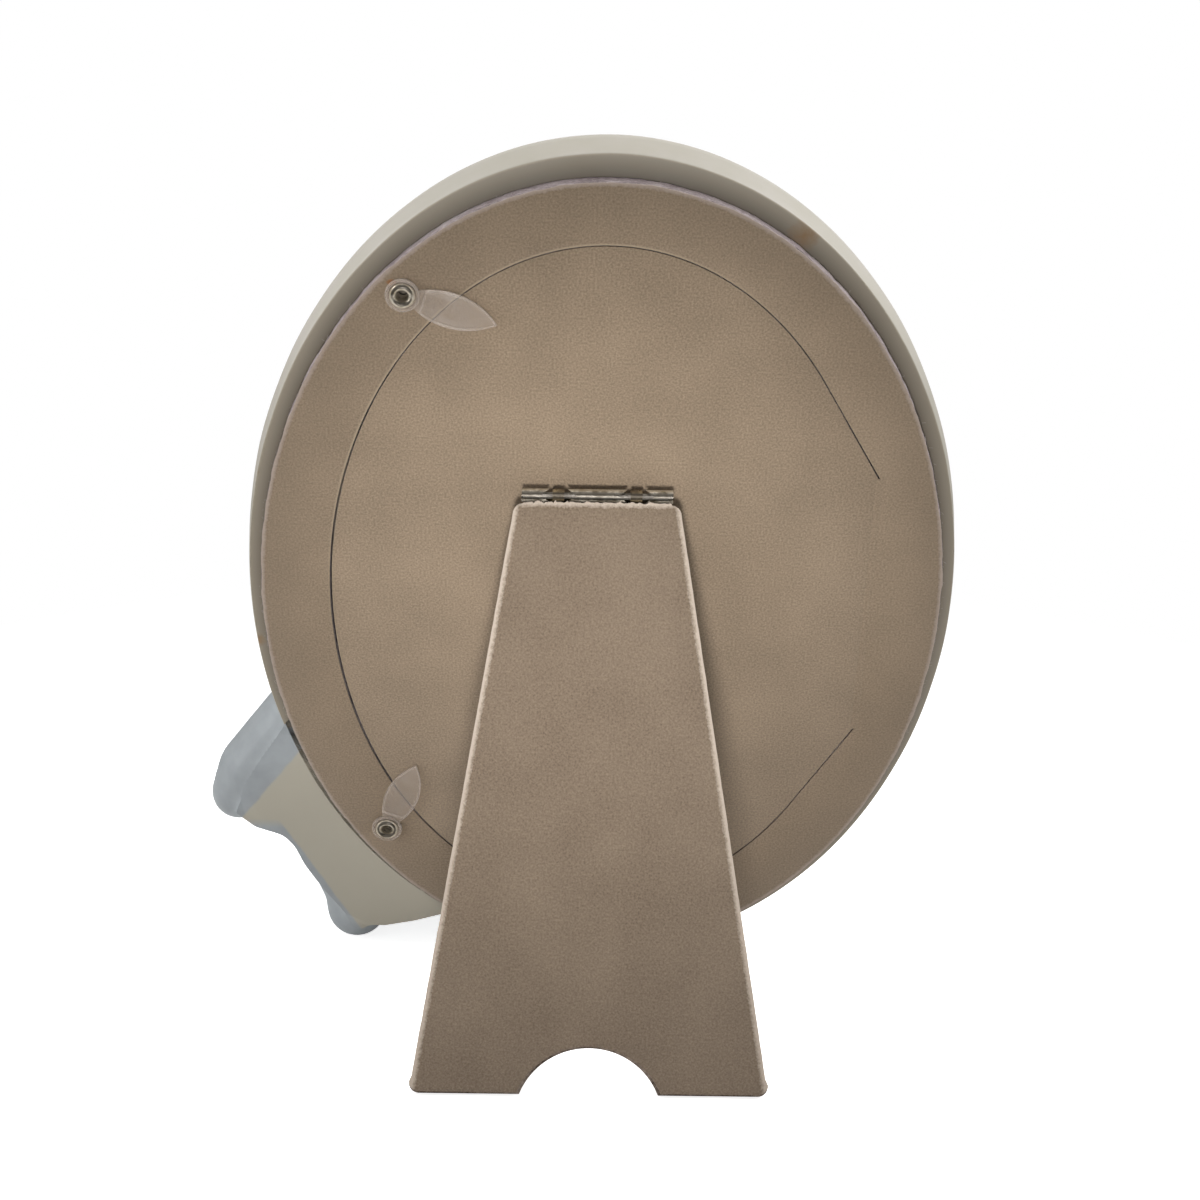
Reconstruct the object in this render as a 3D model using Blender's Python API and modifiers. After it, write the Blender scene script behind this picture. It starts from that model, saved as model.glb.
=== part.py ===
"""Oval table picture frame with a seated elephant calf cast at one lower corner.

The frame leans back on an easel leg. It is modelled upright in the plane of its
back board and then tipped back by one empty, so a size is read as it is measured
on the object: X runs across the frame, Y from the picture to the back, Z up.
"""

from math import acos, atan2, ceil, cos, hypot, pi, radians, sin

import bmesh
import bpy
from mathutils import Matrix, Vector

MM = 0.001

# Fits
GAP = 0.3 * MM
BORE_CLEARANCE = 0.35 * MM
WELD = 0.00001
CUT_PAST = 1.0 * MM
CUT_REACH = 300.0 * MM

# Stance
LEAN = radians(13.9)
LEG_OPENING = radians(27.2)
FOOT_FLAT_DEPTH = 0.7 * MM

# Cast ring
RING_HALF_WIDTH = 94.3 * MM
RING_HALF_HEIGHT = 124.4 * MM
RING_RISE = 0.9 * MM
WALL_FLARE = 1.0 * MM
WALL_DEPTH = 7.6 * MM
MOULDING_WIDTH = 37.0 * MM
MOULDING_DEPTH = 22.0 * MM
CREST_INSET = 13.0 * MM
COVE_DROP = 7.0 * MM
BEAD_RADIUS = 1.9 * MM
SIGHT_LIP = 3.2 * MM
BACK_EDGE_ROUND = 1.0 * MM
LEDGE_WIDTH = 5.0 * MM

# Picture stack, from the door to the glass
CARD_THICKNESS = 2.4 * MM
PRINT_THICKNESS = 0.3 * MM
GLASS_THICKNESS = 2.0 * MM
PRINT_INSET = 0.7 * MM
CARD_INSET = 0.4 * MM

# Back board and its door
BOARD_HALF_WIDTH = 90.6 * MM
BOARD_HALF_HEIGHT = 119.4 * MM
BOARD_THICKNESS = 3.7 * MM
SKIN = 0.4 * MM
DOOR_HALF_WIDTH = 72.3 * MM
DOOR_HALF_HEIGHT = 102.1 * MM
DOOR_RISE = 1.4 * MM
CREASE_REACH = 71.0 * MM
CREASE_HALF_LENGTH = 39.4 * MM

# Turn clips and their eyelets
CLIP_THICKNESS = 0.8 * MM
CLIP_LENGTH = 24.2 * MM
CLIP_BLADE_WIDTH = 9.4 * MM
CLIP_HUB_RADIUS = 4.3 * MM
CLIP_RIM_HEIGHT = 0.4 * MM
CLIP_RIM_WIDTH = 0.8 * MM
EYELET_HOLE_RADIUS = 1.5 * MM
EYELET_WALL = 0.35 * MM
EYELET_FLANGE_RADIUS = 3.2 * MM
EYELET_FLANGE_RISE = 0.7 * MM
EYELET_CLINCH_RADIUS = 2.8 * MM
EYELET_CLINCH_RISE = 0.6 * MM
UPPER_CLIP_FROM_SIDE = 40.5 * MM
UPPER_CLIP_FROM_TOP = 29.2 * MM
UPPER_CLIP_TURN = radians(198.2)
LOWER_CLIP_FROM_SIDE = 30.4 * MM
LOWER_CLIP_FROM_FOOT = 44.5 * MM
LOWER_CLIP_TURN = radians(112.0)

# Easel hinge
HINGE_WIDTH = 38.8 * MM
HINGE_SHIFT = 1.7 * MM
HINGE_HEIGHT = 36.9 * MM
HINGE_STANDOFF = 3.9 * MM
SHEET = 0.4 * MM
BARREL_RADIUS = 1.75 * MM
PIN_RADIUS = 0.85 * MM
BARREL_SLOT = radians(34.0)
LOOP_SPACING = 10.0 * MM
LOOP_WIDTH = 3.0 * MM
WINDOW_WIDTH = 9.2 * MM
LEAF_DROP = 13.0 * MM
TANG_DROP = 14.0 * MM
TANG_INSET = 1.0 * MM
PRONG_RADIUS = 0.6 * MM
PRONG_SPREAD = 13.0 * MM
PRONG_HOOK = 1.5 * MM

# Easel leg
LEG_THICKNESS = 2.9 * MM
LEG_SKIN_MARGIN = 0.8 * MM
LEG_TOP_WIDTH = 42.4 * MM
LEG_FOOT_WIDTH = 94.2 * MM
LEG_TOP_CHAMFER = 3.0 * MM
LEG_FOOT_CHAMFER = 2.6 * MM
LEG_EDGE_ROUND = 0.5 * MM
ARCH_WIDTH = 36.4 * MM
ARCH_HEIGHT = 12.5 * MM

# Cast calf
CALF_SLAB = 10.0 * MM
CALF_VOXEL = 1.8 * MM
CALF_SMOOTH_STEPS = 5
CALF_KEPT_FACETS = 0.3

# Facets
OVAL_FACETS = 72
ROUND_FACETS = 24

# Layers along Y that follow from the sizes above
BOARD_BACK = 0.0
BOARD_FRONT = -BOARD_THICKNESS
CORE_BACK = BOARD_BACK - SKIN - GAP
RING_BACK = BOARD_FRONT - GAP
HOOK_FRONT = BOARD_FRONT - GAP - SHEET
CARD_BACK = HOOK_FRONT - GAP
CARD_FRONT = CARD_BACK - CARD_THICKNESS
PRINT_BACK = CARD_FRONT - GAP
PRINT_FRONT = PRINT_BACK - PRINT_THICKNESS
GLASS_BACK = PRINT_FRONT - GAP
GLASS_FRONT = GLASS_BACK - GLASS_THICKNESS
LEDGE = GLASS_FRONT - GAP
RING_FRONT = RING_BACK - MOULDING_DEPTH
PANE_INSET = MOULDING_WIDTH - LEDGE_WIDTH + GAP

# Rivet places, measured in from the board's widest, highest and lowest points
UPPER_CLIP_PLACE = (BOARD_HALF_WIDTH - UPPER_CLIP_FROM_SIDE, BOARD_HALF_HEIGHT - UPPER_CLIP_FROM_TOP)
LOWER_CLIP_PLACE = (BOARD_HALF_WIDTH - LOWER_CLIP_FROM_SIDE, LOWER_CLIP_FROM_FOOT - BOARD_HALF_HEIGHT)

# Hinge line, measured from the back of the door
BARREL_MID_RADIUS = BARREL_RADIUS - SHEET / 2
LOOP_MID_RADIUS = PIN_RADIUS + BORE_CLEARANCE + SHEET / 2
LEAF_MID = GAP + SHEET / 2
TANG_THICKNESS = 2 * SHEET


def clear_scene():
    """Remove every object of the open file."""
    for item in list(bpy.data.objects):
        bpy.data.objects.remove(item, do_unlink=True)


def make_collection(name):
    """Return a new collection in the scene."""
    collection = bpy.data.collections.new(name)
    bpy.context.scene.collection.children.link(collection)
    return collection


def make_material(name, colour, roughness, metallic=0.0, alpha=1.0):
    """Return a Principled material of one colour."""
    material = bpy.data.materials.new(name)
    material.use_nodes = True
    shader = material.node_tree.nodes["Principled BSDF"]
    shader.inputs["Base Color"].default_value = (*colour, 1.0)
    shader.inputs["Roughness"].default_value = roughness
    shader.inputs["Metallic"].default_value = metallic
    shader.inputs["Alpha"].default_value = alpha
    return material


def place(item, parent, location=(0.0, 0.0, 0.0), rotation=(0.0, 0.0, 0.0)):
    """Set an object on its parent."""
    item.parent = parent
    item.location = location
    item.rotation_euler = rotation
    return item


def make_empty(name, collection, parent=None, location=(0.0, 0.0, 0.0), rotation=(0.0, 0.0, 0.0)):
    """Return an empty that carries other objects."""
    empty = bpy.data.objects.new(name, None)
    empty.empty_display_size = 0.01
    collection.objects.link(empty)
    return place(empty, parent, location, rotation)


def add_mesh_object(name, mesh, collection, material=None, smooth_angle=None):
    """Return a named object for a mesh, shaded smooth below an angle if one is given."""
    item = bpy.data.objects.new(name, mesh)
    collection.objects.link(item)
    mesh.name = name
    if material:
        mesh.materials.clear()
        mesh.materials.append(material)
    if smooth_angle:
        mesh.shade_smooth()
        mesh.set_sharp_from_angle(angle=smooth_angle)
    return item


def to_mesh(source, name, collection, material=None, smooth_angle=None):
    """Turn an object with its modifiers into a welded mesh object of the given name."""
    bpy.context.view_layer.update()
    graph = bpy.context.evaluated_depsgraph_get()
    mesh = bpy.data.meshes.new_from_object(source.evaluated_get(graph))
    matrix = source.matrix_world.copy()
    bpy.data.objects.remove(source, do_unlink=True)
    work = bmesh.new()
    work.from_mesh(mesh)
    bmesh.ops.remove_doubles(work, verts=work.verts, dist=WELD)
    bmesh.ops.transform(work, matrix=matrix, verts=work.verts)
    bmesh.ops.recalc_face_normals(work, faces=work.faces)
    work.to_mesh(mesh)
    work.free()
    return add_mesh_object(name, mesh, collection, material, smooth_angle)


def add_spline(curve, points, cyclic=True):
    """Add one straight-sided spline through 2D or 3D points."""
    spline = curve.splines.new("POLY")
    spline.points.add(len(points) - 1)
    for target, point in zip(spline.points, points):
        depth = point[2] if len(point) > 2 else 0.0
        target.co = (point[0], point[1], depth, 1.0)
    spline.use_cyclic_u = cyclic


def flat_plate(name, outlines, front, back, collection, material=None, smooth_angle=None):
    """Extrude flat outlines, drawn in X and Z, from one depth in Y to another."""
    curve = bpy.data.curves.new(name, "CURVE")
    curve.dimensions = "2D"
    curve.fill_mode = "BOTH"
    curve.extrude = (back - front) / 2
    for outline in outlines:
        add_spline(curve, outline)
    item = bpy.data.objects.new(name, curve)
    collection.objects.link(item)
    item.location = (0.0, (front + back) / 2, 0.0)
    item.rotation_euler = (pi / 2, 0.0, 0.0)
    return to_mesh(item, name, collection, material, smooth_angle)


def turned(name, profile, collection, material=None, steps=ROUND_FACETS, smooth_angle=radians(40)):
    """Turn a closed profile of (radius, height) points, listed from outer top down, about Z."""
    mesh = bpy.data.meshes.new(name)
    corners = [(radius, 0.0, height) for radius, height in profile]
    edges = [(index, (index + 1) % len(corners)) for index in range(len(corners))]
    mesh.from_pydata(corners, edges, [])
    item = bpy.data.objects.new(name, mesh)
    collection.objects.link(item)
    screw = item.modifiers.new("turn", "SCREW")
    screw.steps = steps
    screw.render_steps = steps
    screw.use_merge_vertices = True
    screw.merge_threshold = WELD
    screw.use_normal_calculate = True
    return to_mesh(item, name, collection, material, smooth_angle)


def cylinder(name, radius, low, high, centre, collection, material=None, facets=ROUND_FACETS):
    """Return a cylinder along Y between two depths, centred at (x, z)."""
    work = bmesh.new()
    turn = Matrix.Rotation(pi / 2, 4, "X")
    move = Matrix.Translation((centre[0], (low + high) / 2, centre[1]))
    bmesh.ops.create_cone(work, cap_ends=True, segments=facets, radius1=radius, radius2=radius,
                          depth=high - low, matrix=move @ turn)
    mesh = bpy.data.meshes.new(name)
    work.to_mesh(mesh)
    work.free()
    return add_mesh_object(name, mesh, collection, material, radians(40))


def box(name, low, high, collection, material=None):
    """Return a box between two corners."""
    work = bmesh.new()
    size = Vector(high) - Vector(low)
    centre = (Vector(high) + Vector(low)) / 2
    bmesh.ops.create_cube(work, size=1.0, matrix=Matrix.Translation(centre) @ Matrix.Diagonal((*size, 1.0)))
    mesh = bpy.data.meshes.new(name)
    work.to_mesh(mesh)
    work.free()
    return add_mesh_object(name, mesh, collection, material)


def combine(target, other, operation):
    """Join or cut a mesh with another by an exact Boolean."""
    boolean = target.modifiers.new(other.name, "BOOLEAN")
    boolean.operation = operation
    boolean.solver = "EXACT"
    boolean.object = other
    other.hide_render = True
    other.display_type = "WIRE"
    return target


def apply_modifiers(item):
    """Keep an object's evaluated shape as its mesh, in its own coordinates."""
    bpy.context.view_layer.update()
    graph = bpy.context.evaluated_depsgraph_get()
    mesh = bpy.data.meshes.new_from_object(item.evaluated_get(graph))
    item.modifiers.clear()
    item.data = mesh
    mesh.name = item.name
    return item


def oval(half_width, half_height, rise=0.0, facets=OVAL_FACETS):
    """Return the points of an upright oval in X and Z."""
    angles = [2 * pi * index / facets for index in range(facets)]
    return [(half_width * cos(angle), rise + half_height * sin(angle)) for angle in angles]


def ring_inset(distance):
    """Return the line that runs evenly inside the ring's back edge, in X and Z."""
    edge = [Vector(point) for point in oval(RING_HALF_WIDTH, RING_HALF_HEIGHT, RING_RISE)]
    points = []
    for index, point in enumerate(edge):
        ahead = (edge[(index + 1) % len(edge)] - point).normalized()
        behind = (point - edge[index - 1]).normalized()
        along = (ahead + behind).normalized()
        points.append((point.x - along.y * distance, point.y + along.x * distance))
    return points


def circle(radius, centre=(0.0, 0.0), facets=ROUND_FACETS):
    """Return the points of a circle."""
    angles = [2 * pi * index / facets for index in range(facets)]
    return [(centre[0] + radius * cos(angle), centre[1] + radius * sin(angle)) for angle in angles]


def arc(centre, radii, start, end, steps):
    """Return points along part of an ellipse, both ends included."""
    angles = [start + (end - start) * index / steps for index in range(steps + 1)]
    return [(centre[0] + radii[0] * cos(angle), centre[1] + radii[1] * sin(angle)) for angle in angles]


def ring_profile():
    """Return the moulding's section as (distance inside the back edge, depth) points."""
    back = RING_BACK
    crest = (-CREST_INSET, RING_FRONT)
    wall_end = (WALL_FLARE, back - WALL_DEPTH)
    front_round = arc((crest[0], wall_end[1]), (wall_end[0] - crest[0], wall_end[1] - crest[1]),
                      0.0, -pi / 2, 5)
    bead_centre = -MOULDING_WIDTH + SIGHT_LIP + BEAD_RADIUS
    cove_end = (bead_centre + BEAD_RADIUS, RING_FRONT + COVE_DROP)
    cove = []
    for index in range(1, 5):
        share = index / 4
        across = crest[0] + (cove_end[0] - crest[0]) * share
        cove.append((across, crest[1] + COVE_DROP * (1 - cos(pi / 2 * share))))
    bead = arc((bead_centre, cove_end[1]), (BEAD_RADIUS, BEAD_RADIUS), 0.0, -pi, 4)[1:]
    sight = -MOULDING_WIDTH
    rabbet = sight + LEDGE_WIDTH
    points = arc((-BACK_EDGE_ROUND, back - BACK_EDGE_ROUND), (BACK_EDGE_ROUND, BACK_EDGE_ROUND),
                 pi / 2, 0.0, 2)
    points += front_round
    points += cove
    points += bead
    points += [(sight, cove_end[1] + SIGHT_LIP / 2), (sight, LEDGE), (rabbet, LEDGE), (rabbet, back)]
    return points


def sweep_round_oval(name, profile, collection, material=None):
    """Sweep a section round the ring's back edge."""
    section = bpy.data.curves.new(name + "_section", "CURVE")
    section.dimensions = "2D"
    section.fill_mode = "NONE"
    add_spline(section, [(across, -depth) for across, depth in profile])
    section_object = bpy.data.objects.new(name + "_section", section)
    collection.objects.link(section_object)
    path = bpy.data.curves.new(name, "CURVE")
    path.dimensions = "3D"
    path.twist_mode = "Z_UP"
    path.bevel_mode = "OBJECT"
    path.bevel_object = section_object
    add_spline(path, oval(RING_HALF_WIDTH, RING_HALF_HEIGHT, RING_RISE))
    path_object = bpy.data.objects.new(name, path)
    collection.objects.link(path_object)
    path_object.rotation_euler = (pi / 2, 0.0, 0.0)
    ring = to_mesh(path_object, name, collection, material, radians(35))
    bpy.data.objects.remove(section_object, do_unlink=True)
    return ring


def stand_floor():
    """Return the height, square to the floor, of the floor below the board's centre."""
    lowest = (RING_RISE - RING_HALF_HEIGHT) * cos(LEAN) - RING_BACK * sin(LEAN)
    return lowest + FOOT_FLAT_DEPTH


def stand_location():
    """Return where the leaning empty stands, so the ring's foot lies over the origin."""
    underside = RING_BACK - WALL_DEPTH / 2
    back_shift = underside * cos(LEAN) + (RING_RISE - RING_HALF_HEIGHT) * sin(LEAN)
    return (0.0, -back_shift, -stand_floor())


def leg_length():
    """Return how far the leg's end lies below its hinge line when its front corner meets the floor."""
    hinge_rise = HINGE_HEIGHT * cos(LEAN) - HINGE_STANDOFF * sin(LEAN) - stand_floor()
    splay = LEG_OPENING - LEAN
    return (hinge_rise - (LEG_THICKNESS / 2 - LEG_EDGE_ROUND) * sin(splay)) / cos(splay)


def door_outline(grow=0.0):
    """Return the door's edge: an oval cut that goes straight on to both ends of the crease.

    It leaves the oval as a tangent where the crease ends outside it, and turns straight in
    where the crease ends inside.
    """
    half_width = DOOR_HALF_WIDTH + grow
    half_height = DOOR_HALF_HEIGHT + grow
    reach = CREASE_REACH + grow
    half_length = CREASE_HALF_LENGTH + grow
    across = reach / half_width
    up = half_length / half_height
    past_oval = max(1.0, hypot(across, up))
    touch = atan2(up, across) + acos(1 / past_oval)
    points = arc((0.0, DOOR_RISE), (half_width, half_height), touch, 2 * pi - touch, OVAL_FACETS - 10)
    points.append((reach, DOOR_RISE - half_length))
    points.append((reach, DOOR_RISE + half_length))
    return [(-x, z) for x, z in points]


def prong_places():
    """Return the four prongs of the door's leaf as (x, z) on the door."""
    middle = HINGE_HEIGHT - LEAF_DROP / 2
    rows = (middle + LEAF_DROP / 5, middle - LEAF_DROP / 4)
    return [(HINGE_SHIFT + side * PRONG_SPREAD, row) for side in (-1, 1) for row in rows]


def make_ring(parts, floor, stand, resin):
    """Cast ring with its rounded moulding, beaded sight edge, glass rabbet and foot flat."""
    ring = sweep_round_oval("frame_ring", ring_profile(), parts, resin)
    place(ring, stand)
    combine(ring, floor, "DIFFERENCE")
    return ring


def make_pane(name, front, back, inset, parts, stand, material):
    """Flat oval sheet that lies in the ring's rabbet."""
    outline = ring_inset(PANE_INSET + inset)
    pane = flat_plate(name, [outline], front, back, parts, material)
    return place(pane, stand)


def make_back_board(parts, cutters, stand, core, flock):
    """Glued board ring round the door and its flocked skin, with two eyelet holes recessed inside."""
    places = (UPPER_CLIP_PLACE, LOWER_CLIP_PLACE)
    bore = EYELET_HOLE_RADIUS + EYELET_WALL + BORE_CLEARANCE
    outlines = [oval(BOARD_HALF_WIDTH, BOARD_HALF_HEIGHT), door_outline(GAP)]
    outlines += [circle(bore, spot) for spot in places]
    skin = flat_plate("back_board_flock", outlines, CORE_BACK + GAP, BOARD_BACK, parts, flock)
    place(skin, stand)
    board = flat_plate("back_board", outlines, BOARD_FRONT, CORE_BACK, parts, core)
    recess = EYELET_CLINCH_RISE + 2 * GAP
    for index, spot in enumerate(places):
        cutter = cylinder(f"cut_clinch_{index}", EYELET_CLINCH_RADIUS + BORE_CLEARANCE,
                          BOARD_FRONT - CUT_PAST, BOARD_FRONT + recess, spot, cutters,
                          facets=ROUND_FACETS - 4)
        place(cutter, stand)
        combine(board, cutter, "DIFFERENCE")
    return place(board, stand)


def make_door(parts, pivot, pivot_place, core, flock):
    """Flap cut from the same board and skin, with the holes for the hinge leaf's prongs."""
    outlines = [door_outline()]
    outlines += [circle(PRONG_RADIUS + GAP, spot, ROUND_FACETS // 2) for spot in prong_places()]
    skin = flat_plate("door_flock", outlines, CORE_BACK + GAP, BOARD_BACK, parts, flock)
    place(skin, pivot, -pivot_place)
    door = flat_plate("door_board", outlines, BOARD_FRONT, CORE_BACK, parts, core)
    return place(door, pivot, -pivot_place)


def blade_outline():
    """Return a clip's pointed oval blade, from the middle of its hub to its tip."""
    half_length = CLIP_LENGTH / 2
    half_width = CLIP_BLADE_WIDTH / 2
    radius = (half_length ** 2 + half_width ** 2) / (2 * half_width)
    half_angle = acos((radius - half_width) / radius)
    upper = arc((half_length, half_width - radius), (radius, radius),
                pi / 2 + half_angle, pi / 2 - half_angle, 10)
    return upper + [(x, -z) for x, z in reversed(upper[1:-1])]


def make_clip(name, spot, turn, parts, cutters, stand, plastic):
    """Turn clip: a turned hub with a raised rim and a pointed blade that holds the door shut."""
    low = BOARD_BACK + GAP
    high = low + CLIP_THICKNESS
    bore = EYELET_HOLE_RADIUS + EYELET_WALL + BORE_CLEARANCE
    rim_inside = CLIP_HUB_RADIUS - CLIP_RIM_WIDTH
    profile = [
        (CLIP_HUB_RADIUS, high + CLIP_RIM_HEIGHT),
        (CLIP_HUB_RADIUS, low),
        (bore, low),
        (bore, high),
        (rim_inside - CLIP_RIM_HEIGHT / 2, high),
        (rim_inside, high + CLIP_RIM_HEIGHT),
    ]
    hub = turned(name, profile, parts, plastic)
    hub.data.transform(Matrix.Rotation(-pi / 2, 4, "X"))
    blade = flat_plate(name + "_blade", [blade_outline()], low, high, cutters)
    hole = cylinder(name + "_bore", bore, low - CUT_PAST, high + CUT_PAST, (0.0, 0.0), cutters)
    combine(blade, hole, "DIFFERENCE")
    combine(hub, blade, "UNION")
    apply_modifiers(hub)
    bpy.data.objects.remove(blade, do_unlink=True)
    bpy.data.objects.remove(hole, do_unlink=True)
    return place(hub, stand, (spot[0], 0.0, spot[1]), (0.0, -turn, 0.0))


def make_eyelet(name, spot, parts, stand, metal):
    """Tubular rivet: a rolled flange over the clip, a tube and a clinched end inside the board."""
    inside = EYELET_HOLE_RADIUS
    outside = inside + EYELET_WALL
    seat = BOARD_BACK + GAP + CLIP_THICKNESS + GAP
    top = seat + EYELET_FLANGE_RISE
    clinch = BOARD_FRONT + GAP + EYELET_CLINCH_RISE
    bottom = clinch - EYELET_CLINCH_RISE
    flange_mid = (inside + EYELET_FLANGE_RADIUS) / 2
    profile = [
        (EYELET_FLANGE_RADIUS - SHEET / 2, top - EYELET_FLANGE_RISE / 3),
        (EYELET_FLANGE_RADIUS, seat),
        (outside, seat),
        (outside, clinch),
        (EYELET_CLINCH_RADIUS, clinch),
        (EYELET_CLINCH_RADIUS - SHEET / 2, bottom),
        (inside + SHEET / 2, bottom),
        (inside, clinch),
        (inside, seat),
        (inside + SHEET / 2, top - EYELET_FLANGE_RISE / 4),
        (flange_mid, top),
    ]
    eyelet = turned(name, profile, parts, metal)
    eyelet.data.transform(Matrix.Rotation(-pi / 2, 4, "X"))
    return place(eyelet, stand, (spot[0], 0.0, spot[1]))


def sheet_strip(name, section, half_width, thickness, collection, material=None):
    """Bend a strip of sheet along a section in Y and Z, as wide as the hinge along X."""
    mesh = bpy.data.meshes.new(name)
    work = bmesh.new()
    left = [work.verts.new((-half_width, y, z)) for y, z in section]
    right = [work.verts.new((half_width, y, z)) for y, z in section]
    for index in range(len(section) - 1):
        work.faces.new((left[index], left[index + 1], right[index + 1], right[index]))
    work.to_mesh(mesh)
    work.free()
    item = add_mesh_object(name, mesh, collection, material)
    wall = item.modifiers.new("wall", "SOLIDIFY")
    wall.thickness = thickness
    wall.offset = 0.0
    wall.use_even_offset = True
    return to_mesh(item, name, collection, material, radians(40))


def make_door_leaf(parts, cutters, pivot, hinge_offset, metal):
    """Leaf that lies on the door, with two loops round the pin and four clinched prongs."""
    leaf_y = LEAF_MID - HINGE_STANDOFF
    half_width = HINGE_WIDTH / 2 - GAP
    plate = box("hinge_leaf_door", (-half_width, leaf_y - SHEET / 2, -LEAF_DROP),
                (half_width, leaf_y + SHEET / 2, -BARREL_RADIUS - GAP), parts, metal)
    loop_section = [(leaf_y, -LEAF_DROP / 2), (leaf_y, -1.6 * BARREL_RADIUS)]
    loop_section += arc((0.0, 0.0), (LOOP_MID_RADIUS, LOOP_MID_RADIUS), radians(205), radians(-130), 16)
    for side in (-1, 1):
        loop = sheet_strip(f"loop_{side}", loop_section, LOOP_WIDTH / 2, SHEET, cutters)
        loop.data.transform(Matrix.Translation((side * LOOP_SPACING, 0.0, 0.0)))
        combine(plate, loop, "UNION")
    for index, (x, z) in enumerate(prong_places()):
        spot = (x - HINGE_SHIFT, z - HINGE_HEIGHT)
        tip = HOOK_FRONT - HINGE_STANDOFF
        prong = cylinder(f"prong_{index}", PRONG_RADIUS, tip, leaf_y, spot, cutters,
                         facets=ROUND_FACETS // 2)
        combine(plate, prong, "UNION")
        outward = 1 if spot[0] > 0 else -1
        near = spot[0] - PRONG_RADIUS * outward * 0.5
        far = spot[0] + (PRONG_HOOK + PRONG_RADIUS) * outward
        hook = box(f"hook_{index}", (min(near, far), tip - SHEET * 0.1, spot[1] - PRONG_RADIUS * 0.7),
                   (max(near, far), tip + SHEET, spot[1] + PRONG_RADIUS * 0.7), cutters)
        combine(plate, hook, "UNION")
    apply_modifiers(plate)
    return place(plate, pivot, hinge_offset)


def make_leg_leaf(parts, cutters, leg_pivot, metal):
    """Split barrel with two windows for the door's loops, on a doubled tang that enters the leg."""
    half_width = HINGE_WIDTH / 2
    slot = BARREL_SLOT / 2
    section = arc((0.0, 0.0), (BARREL_MID_RADIUS, BARREL_MID_RADIUS),
                  slot - LEG_OPENING, 2 * pi - slot - LEG_OPENING, 22)
    barrel = sheet_strip("hinge_leaf_leg", section, half_width, SHEET, parts, metal)
    tang_half = half_width - TANG_INSET
    tang = box("tang", (-tang_half, -TANG_THICKNESS / 2, -TANG_DROP),
               (tang_half, TANG_THICKNESS / 2, -BARREL_MID_RADIUS), cutters)
    combine(barrel, tang, "UNION")
    reach = BARREL_RADIUS + GAP
    narrow = LOOP_WIDTH / 2 + BORE_CLEARANCE
    wide = WINDOW_WIDTH / 2
    for side in (-1, 1):
        middle = side * LOOP_SPACING
        outline = [
            (middle - narrow, reach), (middle - wide, 0.0), (middle - narrow, -reach),
            (middle + narrow, -reach), (middle + wide, 0.0), (middle + narrow, reach),
        ]
        window = flat_plate(f"window_{side}", [outline], -reach, reach, cutters)
        combine(barrel, window, "DIFFERENCE")
    apply_modifiers(barrel)
    return place(barrel, leg_pivot)


def make_pin(parts, pivot, hinge_offset, metal):
    """Wire that the loops and the split barrel turn on."""
    wire = bpy.data.curves.new("hinge_pin", "CURVE")
    wire.dimensions = "3D"
    wire.bevel_depth = PIN_RADIUS
    wire.bevel_resolution = 2
    wire.use_fill_caps = True
    half_length = HINGE_WIDTH / 2 - GAP
    add_spline(wire, [(-half_length, 0.0, 0.0), (half_length, 0.0, 0.0)], cyclic=False)
    item = bpy.data.objects.new("hinge_pin", wire)
    parts.objects.link(item)
    pin = to_mesh(item, "hinge_pin", parts, metal, radians(40))
    return place(pin, pivot, hinge_offset)


def leg_outline(margin=0.0):
    """Return the leg's tapered outline with its arch, below the hinge line at the origin."""
    top = -BARREL_RADIUS - GAP - margin
    bottom = -leg_length() + margin
    top_half = LEG_TOP_WIDTH / 2 - margin
    foot_half = LEG_FOOT_WIDTH / 2 - margin
    slope = (foot_half - top_half) / (top - bottom)
    arch_half = ARCH_WIDTH / 2 + margin
    arch_radius = (arch_half ** 2 + ARCH_HEIGHT ** 2) / (2 * ARCH_HEIGHT)
    arch_centre = (0.0, bottom + ARCH_HEIGHT - arch_radius)
    sweep = acos((arch_radius - ARCH_HEIGHT) / arch_radius)
    arch = arc(arch_centre, (arch_radius, arch_radius), pi / 2 - sweep, pi / 2 + sweep, 14)
    right = [
        (top_half - LEG_TOP_CHAMFER * 0.6, top),
        (top_half + slope * LEG_TOP_CHAMFER, top - LEG_TOP_CHAMFER),
        (foot_half - slope * LEG_FOOT_CHAMFER, bottom + LEG_FOOT_CHAMFER),
        (foot_half - LEG_FOOT_CHAMFER, bottom),
    ]
    left = [(-x, z) for x, z in reversed(right)]
    return right + arch + left


def make_leg(parts, cutters, leg_pivot, core, flock):
    """Easel leg with its flocked skin, an arch between two feet and a pocket for the hinge's tang."""
    half = LEG_THICKNESS / 2
    skin = flat_plate("leg_flock", [leg_outline(LEG_SKIN_MARGIN)], half + GAP, half + GAP + SKIN, parts,
                      flock)
    place(skin, leg_pivot)
    leg = flat_plate("leg_board", [leg_outline()], -half, half, parts, core)
    edges = leg.modifiers.new("edge", "BEVEL")
    edges.width = LEG_EDGE_ROUND
    edges.segments = 1
    edges.limit_method = "ANGLE"
    edges.angle_limit = radians(60)
    tang_half = HINGE_WIDTH / 2 - TANG_INSET + GAP
    pocket_half = TANG_THICKNESS / 2 + GAP
    pocket = box("cut_pocket", (-tang_half, -pocket_half, -TANG_DROP - GAP), (tang_half, pocket_half, 0.0),
                 cutters)
    combine(leg, pocket, "DIFFERENCE")
    apply_modifiers(leg)
    return place(leg, leg_pivot)


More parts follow.
